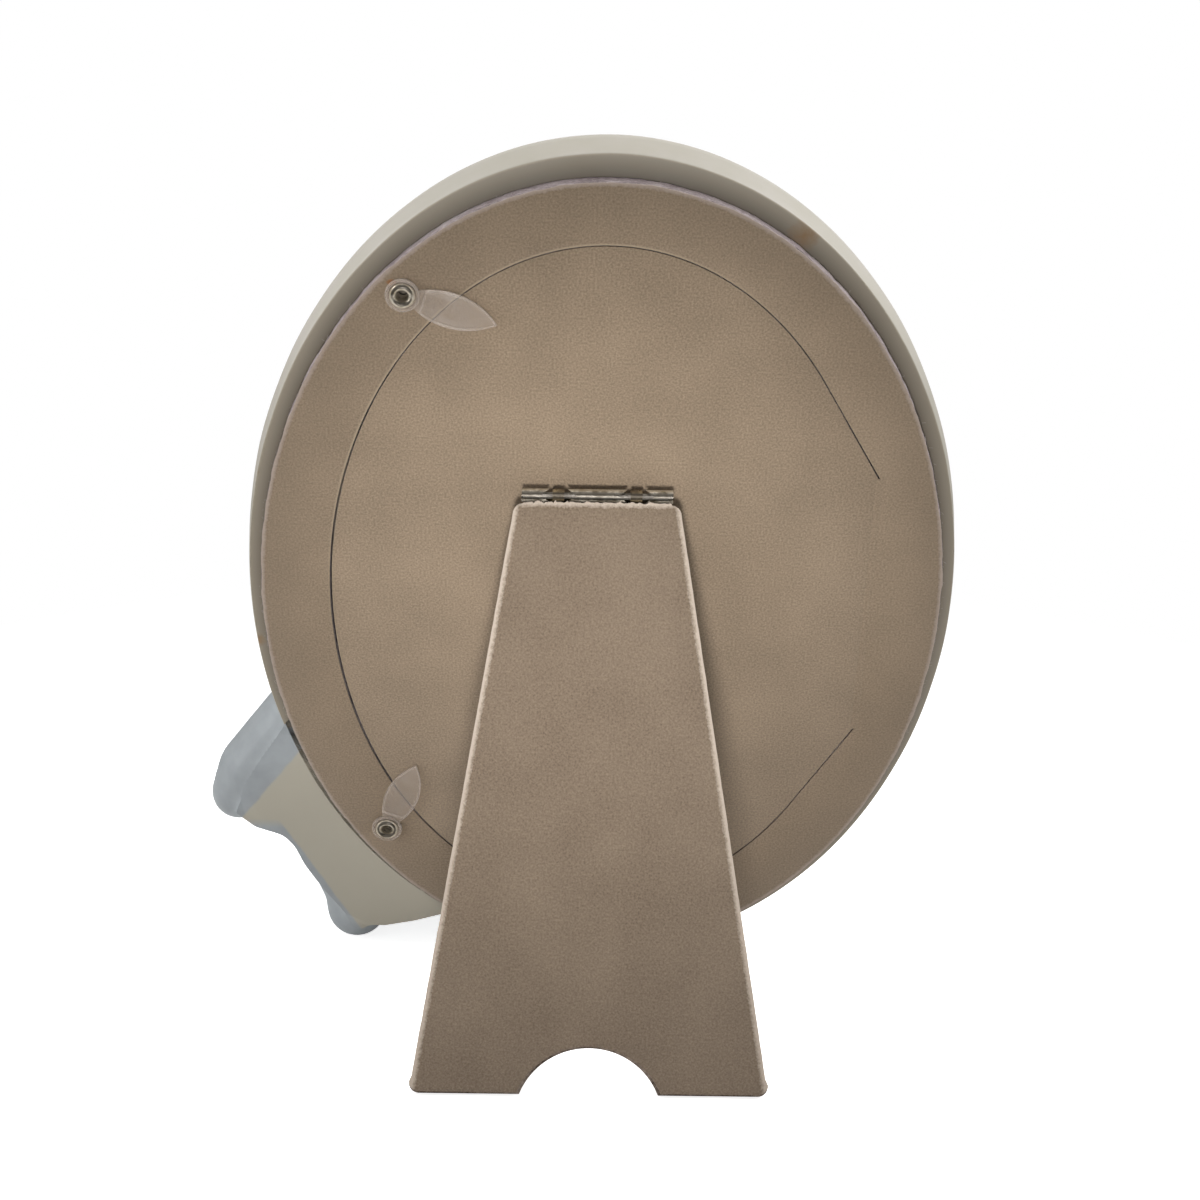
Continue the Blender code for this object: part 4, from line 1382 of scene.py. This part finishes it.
class Clip:
    """A turn clip on its eyelet."""

    def __init__(self, name: str, size: ClipSize, spot: Point, turn: float, body: Body,
                 plastic: bpy.types.Material, metal: bpy.types.Material) -> None:
        """Build blade, hub and eyelet.

        Args:
            name: "upper" or "lower".
            size: the clip's sizes.
            spot: the rivet's place on the board.
            turn: direction of the blade.
            body: the body that carries it.
            plastic: the clip's material.
            metal: the eyelet's material.
        """
        low = 0.3 * MM
        high = low + size.thickness
        matrix = STANCE.board() @ Matrix.Translation((spot[0], 0.0, spot[1]))
        turned_matrix = matrix @ Matrix.Rotation(-turn, 4, "Y")
        blade = plate([size.outline(), size.bore_edge()], low, high, 0.2 * MM, turned_matrix)
        rim = turned([(size.hub, high - 0.15 * MM), (size.hub - 0.1 * MM, high + size.rim),
                      (size.hub - 0.5 * MM, high + size.rim), (size.hub - 0.8 * MM, high - 0.15 * MM)],
                     turned_matrix)
        mesh = self.joined([blade, self.rib(size, high, turned_matrix), rim])
        Piece("turn_clip_" + name, mesh, plastic, body, ["clip_" + name], "frosted_plastic", radians(35))
        seat = high + 0.02 * MM
        top = seat + 1.0 * MM
        middle = (size.hole + size.flange) / 2
        roll = arc((middle, seat + 0.1 * MM), (size.flange - middle, top - seat - 0.1 * MM), 0.0, pi, 14)
        profile = roll + [(size.hole, seat - 0.2 * MM), (size.hole, size.front + 0.9 * MM),
                          (size.clinch, size.front + 0.3 * MM), (size.clinch, size.front + 0.6 * MM),
                          (size.hole + 0.35 * MM, size.front + 1.1 * MM), (size.hole + 0.35 * MM, seat),
                          (size.flange - 0.2 * MM, seat)]
        eyelet = turned(profile, matrix)
        Piece("rivet_" + name, eyelet, metal, Body.FRAME, ["eyelet_" + name], "nickel", radians(50))

    def rib(self, size: ClipSize, high: float, matrix: Matrix) -> bpy.types.Mesh:
        """Return the raised lip that runs round the blade.

        Args:
            size: the clip's sizes.
            high: level of the blade's face.
            matrix: placement of the clip.

        Returns:
            The lip's mesh.
        """
        outline = [point for point in size.blade() if point[0] > size.hub * 1.1]
        middle = (size.length + size.hub) / 2
        inner = [((x - middle) * 0.93 + middle, z * 0.84) for x, z in outline]
        return plate([outline, inner], high - 0.25 * MM, high + 0.08 * MM, 0.1 * MM, matrix)

    def joined(self, meshes: Sequence[bpy.types.Mesh]) -> bpy.types.Mesh:
        """Return several meshes as one.

        Args:
            meshes: the meshes to join.

        Returns:
            The joined mesh.
        """
        work = bmesh.new()
        for mesh in meshes:
            work.from_mesh(mesh)
        result = bpy.data.meshes.new("clip")
        work.to_mesh(result)
        work.free()
        return result


@dataclass(frozen=True)
class Mass:
    """One rounded mass of the calf, in millimetres of board coordinates.

    Attributes:
        centre: its centre.
        radii: its half-axes.
        turn: its turn about X, Y and Z.
    """

    centre: Place
    radii: Place
    turn: Place = (0.0, 0.0, 0.0)


class Lump:
    """Rounded masses and slabs gathered as one loose mesh, in millimetres of board coordinates."""

    def __init__(self) -> None:
        """Start with nothing."""
        self.points: List[Vector] = []
        self.faces: List[Tuple[int, ...]] = []

    def ball(self, mass: Mass, fine: int = 32) -> None:
        """Add one rounded mass.

        Args:
            mass: its place and size.
            fine: segments round.
        """
        first = len(self.points)
        rows = fine // 2
        turn = Matrix.Rotation(mass.turn[2], 3, "Z") @ Matrix.Rotation(mass.turn[1], 3, "Y")
        turn = turn @ Matrix.Rotation(mass.turn[0], 3, "X") @ Matrix.Diagonal(mass.radii)
        centre = Vector(mass.centre)
        self.points.append(centre + turn @ Vector((0.0, 0.0, 1.0)))
        for row in range(1, rows):
            down = pi * row / rows
            for step in range(fine):
                round_it = 2 * pi * step / fine
                unit = Vector((sin(down) * cos(round_it), sin(down) * sin(round_it), cos(down)))
                self.points.append(centre + turn @ unit)
        self.points.append(centre + turn @ Vector((0.0, 0.0, -1.0)))
        last = len(self.points) - 1
        for step in range(fine):
            after = (step + 1) % fine
            self.faces.append((first, first + 1 + step, first + 1 + after))
            for row in range(rows - 2):
                near = first + 1 + row * fine
                far = near + fine
                self.faces.append((near + step, far + step, far + after, near + after))
            self.faces.append((last, last - fine + after, last - fine + step))

    def slab(self, outline: Sequence[Point], front: float, back: float) -> None:
        """Add a flat slab.

        Args:
            outline: its corners.
            front: depth of its front.
            back: depth of its back.
        """
        first = len(self.points)
        count = len(outline)
        self.points += [Vector((x, depth, z)) for depth in (front, back) for x, z in outline]
        self.faces.append(tuple(first + index for index in reversed(range(count))))
        self.faces.append(tuple(first + count + index for index in range(count)))
        for index in range(count):
            after = (index + 1) % count
            self.faces.append((first + index, first + after, first + count + after, first + count + index))

    def mesh(self, name: str) -> bpy.types.Mesh:
        """Return what was gathered as a mesh in metres.

        Args:
            name: the mesh's name.

        Returns:
            The mesh.
        """
        made = bpy.data.meshes.new(name)
        made.from_pydata([tuple(point * MM) for point in self.points], [], self.faces)
        return made


class Calf:
    """The seated elephant calf, modelled from rounded masses."""

    def __init__(self, finish: bpy.types.Material, eye: bpy.types.Material, nail: bpy.types.Material) -> None:
        """Build the calf.

        Args:
            finish: its paint.
            eye: the eyes' material.
            nail: the toenails' material.
        """
        lump = Lump()
        self.fill(lump)
        item = placed("calf", lump.mesh("calf"))
        fuse = item.modifiers.new("fuse", "REMESH")
        fuse.mode = "VOXEL"
        fuse.voxel_size = 1.0 * MM
        soften = item.modifiers.new("soften", "SMOOTH")
        soften.factor = 0.5
        soften.iterations = 12
        shape = self.trimmed(evaluated(item, STANCE.board()))
        Piece("calf_body", shape, finish, Body.FRAME, ["calf_figure"], "painted_resin", radians(50))
        self.details(eye, nail)

    def floor_below(self, depth: float) -> float:
        """Return the floor's height in board coordinates below a depth, both in millimetres.

        Args:
            depth: depth in board coordinates.

        Returns:
            The height.
        """
        return (-STANCE.lift / MM + depth * sin(STANCE.lean)) / cos(STANCE.lean)

    def limb(self, lump: Lump, points: Sequence[Sequence[float]], radii: Sequence[float]) -> None:
        """Add a row of balls that fuse into a tapering limb.

        Args:
            lump: the form being built.
            points: its bends.
            radii: its radius at each bend.
        """
        for index in range(len(points) - 1):
            start = Vector(points[index])
            end = Vector(points[index + 1])
            steps = max(2, ceil((end - start).length / 1.5))
            for step in range(steps + 1):
                share = step / steps
                radius = radii[index] + (radii[index + 1] - radii[index]) * share
                lump.ball(Mass(tuple(start.lerp(end, share)), (radius,) * 3), 20)

    def fill(self, lump: Lump) -> None:
        """Add all the masses of the calf.

        Args:
            lump: the form being built.
        """
        floor = self.floor_below
        for mass in (
            Mass((65, -24, -98), (20, 20, 27)),
            Mass((50, -19, -108), (14, 13, 12)),
            Mass((69, -34, -61), (18.5, 18, 18)),
            Mass((69, -36, -50), (14, 14, 11)),
            Mass((47, -35, -60), (7, 5, 17), (0.0, radians(24), radians(-24))),
            Mass((44, -36, -66), (7, 4.5, 11), (0.0, radians(10), radians(-24))),
        ):
            lump.ball(mass)
        # The ear or shoulder that shows beside the ring, then the body's edge down to the foot
        self.limb(lump, [(83, -14, -42), (94.5, -14, -57.5), (100, -14, -65), (104.5, -14, -73.5)],
                  [10.0, 10.0, 10.0, 8.2])
        self.limb(lump, [(84, -14, -90), (77.5, -13, -101), (73.5, -13, -110), (72, -13, -116)],
                  [6.0, 7.0, 8.0, 9.2])
        self.limb(lump, [(69, -49, -62), (69, -57, -72), (67, -60, -84), (62, -63, -91), (56, -66, -89)],
                  [8.0, 6.4, 5.0, 4.2, 3.4])
        for hip, foot in ((54, 51), (75, 75)):
            self.limb(lump, [(hip, -37, -86), (foot, -44, -104), (foot, -47, floor(-47) + 3)],
                      [8.0, 7.4, 8.2])
        for hip, foot in ((48, 42), (70, 73)):
            self.limb(lump, [(hip, -26, -112), (foot, -34, floor(-34) + 5)], [12.0, 9.5])
        self.back_plate(lump)

    def back_plate(self, lump: Lump) -> None:
        """Add the slab behind the calf that ends flush with the ring's back.

        Args:
            lump: the form being built.
        """
        outline = [(84, -36), (92, -50), (99, -63), (104, -74), (99, -79), (91, -82), (88, -86),
                   (85.5, -93), (80, -103), (75, -110), (71, -115.5), (63, -116), (54, -114),
                   (42, -110), (42, -90), (60, -60)]
        lump.slab(outline, -14.0, -1.5)

    def trimmed(self, mesh: bpy.types.Mesh) -> bpy.types.Mesh:
        """Cut the calf flat behind and level at the floor.

        Args:
            mesh: the fused calf in scene coordinates.

        Returns:
            The trimmed mesh.
        """
        work = bmesh.new()
        work.from_mesh(mesh)
        board = STANCE.board()
        behind = board @ Vector((0.0, FLAT_BACK, 0.0))
        normal = (board.to_3x3() @ Vector((0.0, 1.0, 0.0))).normalized()
        for point, direction in ((behind, normal), (Vector((0.0, 0.0, 0.0)), Vector((0.0, 0.0, -1.0)))):
            cut = bmesh.ops.bisect_plane(work, geom=work.verts[:] + work.edges[:] + work.faces[:],
                                         plane_co=point, plane_no=direction, clear_outer=True)
            rim = [item for item in cut["geom_cut"] if isinstance(item, bmesh.types.BMEdge)]
            bmesh.ops.triangle_fill(work, use_beauty=True, edges=rim)
        return baked(work, mesh)

    def details(self, eye: bpy.types.Material, nail: bpy.types.Material) -> None:
        """Add eyes and toenails.

        Args:
            eye: the eyes' material.
            nail: the toenails' material.
        """
        eyes = Lump()
        for side in (-1, 1):
            eyes.ball(Mass((69 + side * 9.5, -49.0, -55.0), (1.9, 1.9, 2.4)), 24)
        nails = Lump()
        for foot in (51, 75):
            for step in (-1, 0, 1):
                nails.ball(Mass((foot + step * 4.2, -54.6 + abs(step) * 1.2, self.floor_below(-54) + 3.6),
                                (1.7, 1.2, 1.7)), 16)
        for name, lump, material in (("calf_eyes", eyes, eye), ("calf_nails", nails, nail)):
            mesh = lump.mesh(name)
            mesh.transform(STANCE.board())
            Piece(name, mesh, material, Body.FRAME, (), "painted_resin")


@dataclass(frozen=True)
class FuzzSize:
    """Loose fibres along a torn edge.

    Attributes:
        count: number of fibres.
        length: of the longest fibre.
        radius: of a fibre.
        seed: of the scatter.
        spread: how far beside the edge a fibre may start.
        shortest: length of the shortest fibre as a share of the longest.
    """

    count: int = 900
    length: float = 1.0 * MM
    radius: float = 0.035 * MM
    seed: int = 4
    spread: float = 0.4 * MM
    shortest: float = 0.25


class Fuzz:
    """Fibres scattered along a path by Geometry Nodes."""

    def __init__(self, name: str, path: Sequence[Vector], size: FuzzSize, finish: bpy.types.Material,
                 body: Body, slot: str) -> None:
        """Scatter the fibres.

        Args:
            name: the piece's name.
            path: points in scene coordinates.
            size: numbers and lengths.
            finish: the fibres' material.
            body: the body that carries them.
            slot: the record's material slot.
        """
        mesh = bpy.data.meshes.new(name + "_path")
        mesh.from_pydata([tuple(point) for point in path], [(k, k + 1) for k in range(len(path) - 1)], [])
        item = placed(name + "_path", mesh)
        group = self.group(finish, size)
        modifier = item.modifiers.new("fibres", "NODES")
        modifier.node_group = group
        values = {"Count": size.count, "Length": size.length, "Radius": size.radius, "Seed": size.seed}
        for socket in group.interface.items_tree:
            if socket.name in values and socket.in_out == "INPUT":
                modifier[socket.identifier] = values[socket.name]
        made = frozen(item)
        item.modifiers.clear()
        bpy.data.objects.remove(item, do_unlink=True)
        Piece(name, made, finish, body, (), slot)

    def group(self, finish: bpy.types.Material, size: FuzzSize) -> bpy.types.NodeTree:
        """Return the node group that scatters fibres along a path.

        Args:
            finish: the fibres' material.
            size: numbers and lengths.

        Returns:
            The group.
        """
        tree = bpy.data.node_groups.new("fibres along a path", "GeometryNodeTree")
        for name, way, kind in (
            ("Geometry", "INPUT", "Geometry"),
            ("Count", "INPUT", "Int"),
            ("Length", "INPUT", "Float"),
            ("Radius", "INPUT", "Float"),
            ("Seed", "INPUT", "Int"),
            ("Geometry", "OUTPUT", "Geometry"),
        ):
            tree.interface.new_socket(name, in_out=way, socket_type="NodeSocket" + kind)
        nodes = Nodes(tree)
        given = nodes.add("NodeGroupInput").node.outputs
        curve = nodes.add("GeometryNodeMeshToCurve", {0: given["Geometry"]})
        points = nodes.add("GeometryNodeResampleCurve", {"Curve": curve, "Count": given["Count"]},
                           mode="COUNT")
        tip = nodes.add("CombineXYZ", {2: given["Length"]})
        line = nodes.add("GeometryNodeCurvePrimitiveLine", {"End": tip})
        strand = nodes.add("GeometryNodeResampleCurve", {"Curve": line, "Count": 3}, mode="COUNT")
        profile = nodes.add("GeometryNodeCurvePrimitiveCircle",
                            {"Resolution": 4, "Radius": given["Radius"]}, mode="RADIUS")
        fibre = nodes.add("GeometryNodeCurveToMesh", {"Curve": strand, "Profile Curve": profile,
                                                      "Fill Caps": True})
        turn = nodes.add("FunctionNodeRandomValue", {0: (0.0, 0.0, 0.0), 1: (2 * pi, 2 * pi, 2 * pi),
                                                     "Seed": given["Seed"]}, data_type="FLOAT_VECTOR")
        scale = nodes.add("FunctionNodeRandomValue", {2: size.shortest, 3: 1.0, "Seed": given["Seed"]},
                          1, data_type="FLOAT")
        jitter = nodes.add("FunctionNodeRandomValue", {0: (-size.spread,) * 3, 1: (size.spread,) * 3,
                                                       "Seed": given["Seed"]}, data_type="FLOAT_VECTOR")
        moved = nodes.add("GeometryNodeSetPosition", {"Geometry": points, "Offset": jitter})
        fibres = nodes.add("GeometryNodeInstanceOnPoints", {"Points": moved, "Instance": fibre,
                                                            "Rotation": turn, "Scale": scale})
        real = nodes.add("GeometryNodeRealizeInstances", {0: fibres})
        made = nodes.add("GeometryNodeSetMaterial", {0: real, "Material": finish})
        nodes.add("NodeGroupOutput", {0: made})
        return tree


class CarriedNodes:
    """CAD nodes that show as they are, with their own finishes."""

    def __init__(self, finishes: Dict[str, bpy.types.Material]) -> None:
        """Put a finish on each carried node.

        Args:
            finishes: material by node name.
        """
        for name, material in finishes.items():
            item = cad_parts[name]
            item.data.materials.clear()
            item.data.materials.append(material)
            log.info("%s: carried CAD node", name)


@dataclass(frozen=True)
class Softbox:
    """One square soft light.

    Attributes:
        name: what it is.
        power: in watts.
        size: width of its square.
        place: where it hangs.
    """

    name: str
    power: float
    size: float
    place: Place


@dataclass(frozen=True)
class Studio:
    """Floor, light and camera.

    Attributes:
        lens: focal length in millimetres on a 36 mm sensor.
        camera: place of the camera.
        aim: turn of the camera in degrees.
        ambient: strength of the surrounding light.
        boxes: the softboxes; the one overhead draws a line on the hinge.
        middle: what the softboxes point at.
        spot: power of the soft-edged spot under the camera.
        spot_place: where the spot stands.
        spot_aim: what the spot points at.
        spot_angle: opening of its cone.
        spot_radius: size of its lamp.
        reach: distance from the middle to the floor's sides.
        pool: distances between which the floor fades from a shadow catcher to plain white.
        glow: how white the floor shows near the frame.
        bounce: light that the floor gives back.
    """

    lens: float = 60.0
    camera: Place = (0.00596, 0.54510, 0.28852)
    aim: Place = (71.7296, -0.9787, 179.7002)
    ambient: float = 0.08
    boxes: Tuple[Softbox, ...] = (
        Softbox("left softbox", 2.7, 0.4, (0.5, 0.0, 0.6)),
        Softbox("right softbox", 4.6, 0.4, (-0.5, 0.0, 0.6)),
        Softbox("overhead strip", 1.2, 0.25, (0.0, 0.3, 1.0)),
        Softbox("side softbox", 2.1, 0.4, (0.75, 0.35, 0.25)),
    )
    middle: Place = (0.0, 0.03, 0.12)
    spot: float = 12.4
    spot_place: Place = (0.02, 0.60, 0.12)
    spot_aim: Place = (0.0, 0.05, 0.138)
    spot_angle: float = 0.5
    spot_radius: float = 0.06
    reach: float = 6.0
    pool: Point = (0.16, 0.42)
    glow: float = 0.8
    bounce: float = 0.08

    def floor(self) -> None:
        """Lay a pale floor that only keeps soft shadows."""
        mesh = bpy.data.meshes.new("floor")
        corners = ((-1, -1), (1, -1), (1, 1), (-1, 1))
        mesh.from_pydata([(x * self.reach, y * self.reach, 0) for x, y in corners], [], [(0, 1, 2, 3)])
        item = placed("floor", mesh)
        tree = Tree("matt white paper sweep, lit from behind")
        where = tree.place(Matrix.Translation((0.0, 0.05, 0.0)))
        away = tree.add("VectorMath", {0: where}, "Value", operation="LENGTH")
        near, far = self.pool
        seen = tree.add("MapRange", {0: away, 1: near, 2: far, 3: self.glow})
        camera_ray = tree.add("LightPath", out="Is Camera Ray")
        light = tree.add("Mix", {0: camera_ray, 2: self.bounce, 3: seen}, data_type="FLOAT")
        share = tree.add("MapRange", {0: away, 1: near, 2: far, 3: 1.0, 4: 0.0})
        paper = tree.add("Mix", {0: share, 6: linear("000000"), 7: linear("fbfbfb")}, 2,
                         data_type="RGBA")
        mesh.materials.append(tree.finish({"Base Color": paper, "Roughness": 0.95,
                                           "Specular IOR Level": 0.0, "Emission Strength": light,
                                           "Emission Color": linear("ffffff")}))

    def world(self) -> None:
        """Set a white background and a soft surrounding light."""
        world = bpy.data.worlds.new("white surround")
        bpy.context.scene.world = world
        world.use_nodes = True
        nodes = Nodes(world.node_tree)
        rays = nodes.add("LightPath").node.outputs
        seen = nodes.add("Math", {0: rays["Is Camera Ray"], 1: rays["Is Glossy Ray"]},
                         operation="MAXIMUM")
        seen = nodes.add("Math", {0: seen, 1: rays["Is Transmission Ray"]}, operation="MAXIMUM")
        light = nodes.add("Background", {"Color": linear("ffffff"), "Strength": self.ambient})
        white = nodes.add("Background", {"Color": linear("ffffff"), "Strength": 1.0})
        nodes.add("OutputWorld", {"Surface": nodes.add("MixShader", {0: seen, 1: light, 2: white})})

    def lamp(self, kind: str, name: str, place: Place, aim: Place, settings: Dict[str, float]) -> None:
        """Add one light.

        Args:
            kind: Blender's name of its type.
            name: its name.
            place: where it stands.
            aim: what it points at.
            settings: attributes of the light.
        """
        data = bpy.data.lights.new(name, kind)
        for key, value in settings.items():
            setattr(data, key, value)
        item = placed(name, data)
        item.location = place
        item.rotation_euler = (Vector(aim) - Vector(place)).to_track_quat("-Z", "Y").to_euler()

    def build(self) -> None:
        """Build the whole studio."""
        self.floor()
        self.world()
        for box in self.boxes:
            self.lamp("AREA", box.name, box.place, self.middle, {"energy": box.power, "size": box.size})
        self.lamp("SPOT", "grid spot under the camera", self.spot_place, self.spot_aim,
                  {"energy": self.spot, "spot_size": self.spot_angle, "spot_blend": 1.0,
                   "shadow_soft_size": self.spot_radius})
        data = bpy.data.cameras.new("camera")
        data.lens = self.lens
        data.sensor_width = 36.0
        item = placed("camera", data)
        item.location = self.camera
        item.rotation_euler = [radians(angle) for angle in self.aim]
        bpy.context.scene.camera = item
        bpy.context.scene.view_settings.view_transform = "Standard"


def rim_path(size: BoardSize, depth: float, spread: float) -> List[Vector]:
    """Return the board's torn edge as points in the scene.

    Args:
        size: the board's sizes.
        depth: depth of the line.
        spread: how far outside the board it lies.

    Returns:
        The points, all round.
    """
    matrix = STANCE.board()
    points = oval(size.half_width + spread, size.half_height + spread, facets=360)
    return [matrix @ Vector((x, depth, z)) for x, z in points + points[:1]]


def leg_top_path(size: LegSize) -> List[Vector]:
    """Return the leg's ragged top edge as points in the scene.

    Args:
        size: the leg's sizes.

    Returns:
        The points, from side to side.
    """
    matrix = STANCE.leg()
    half = size.top_width / 2 - size.shoulder
    depth = size.thickness / 2 + 0.3 * MM
    height = size.top() - 0.2 * MM
    steps = 40
    return [matrix @ Vector((-half + 2 * half * k / steps, depth, height)) for k in range(steps + 1)]


def main() -> None:
    """Build all the pieces in order, then the studio."""
    logging.basicConfig(level=logging.INFO, format="%(relativeCreated)7.0f ms  %(message)s")
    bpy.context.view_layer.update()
    board = STANCE.board()
    leg = STANCE.leg()
    flock = Flock()
    torn = TornBoard().build(board)
    nickel = Metal().build(board)
    board_size = BoardSize()
    leg_size = LegSize()
    ring_size = RingSize()
    Ring(ring_size, CastResin().build(board, board_size, ring_size.back))
    BackBoard(board_size, flock.board(board, board_size), torn)
    # The leg's nap is darker than the board's, and its cut edge darker and browner
    Leg(leg_size, Flock(light="867664", dark="635445").leg(leg, leg_size),
        TornBoard("pressed board, cut edge of the leg", "8a7d72", "4a3f37").build(leg))
    plastic = Frosted().build(board)
    for name, spot, turn, body in zip(("upper", "lower"), board_size.holes, board_size.clips,
                                      (Body.UPPER_CLIP, Body.LOWER_CLIP)):
        Clip(name, ClipSize(), spot, turn, body, plastic, nickel)
    Calf(CalfPaint().build(board), Plain("black enamel, glossy", "1a1817", "100f0e", 0.15).build(board),
         Plain("cream enamel", "d8d0c0", "cfc6b5", 0.4).build(board))
    # Clear glass, blank satin paper and dull card inside; the hinge is bright plate with a
    # browned leaf in its windows and a plain wire
    CarriedNodes({
        "glass_pane": Plain("float glass, clear", "f4f8f6", "f0f5f2", 0.02, 20 * MM, 1.0).build(board),
        "photo_print": Plain("coated photo paper, blank", "d9d7d2", "d4d2cc", 0.45).build(board),
        "backing_card": Plain("pressed grey card", "9b9488", "8b8478", 0.9).build(board),
        "hinge_leaf_leg": nickel,
        "hinge_leaf_door": Metal("brassed steel, tarnished", "a08f70", "5b4e3c").build(board),
        "hinge_pin": Metal("steel wire, drawn", "9a958c", "5f5a52", roughness=0.3).build(board),
    })
    fibre = Plain("loose paper fibres", "b3aba6", "8f8681", 1.0).build(board)
    Fuzz("edge_fibres", rim_path(board_size, -1.0 * MM, 0.15 * MM), FuzzSize(), fibre, Body.FRAME, "flock")
    Fuzz("leg_fibres", leg_top_path(leg_size), FuzzSize(420, 0.8 * MM, 0.04 * MM, 9),
         Plain("loose pale paper fibres", "d6ccbf", "c2b7a8", 1.0).build(leg), Body.LEG, "leg_flock")
    Studio().build()


if __name__ == "__main__":
    main()
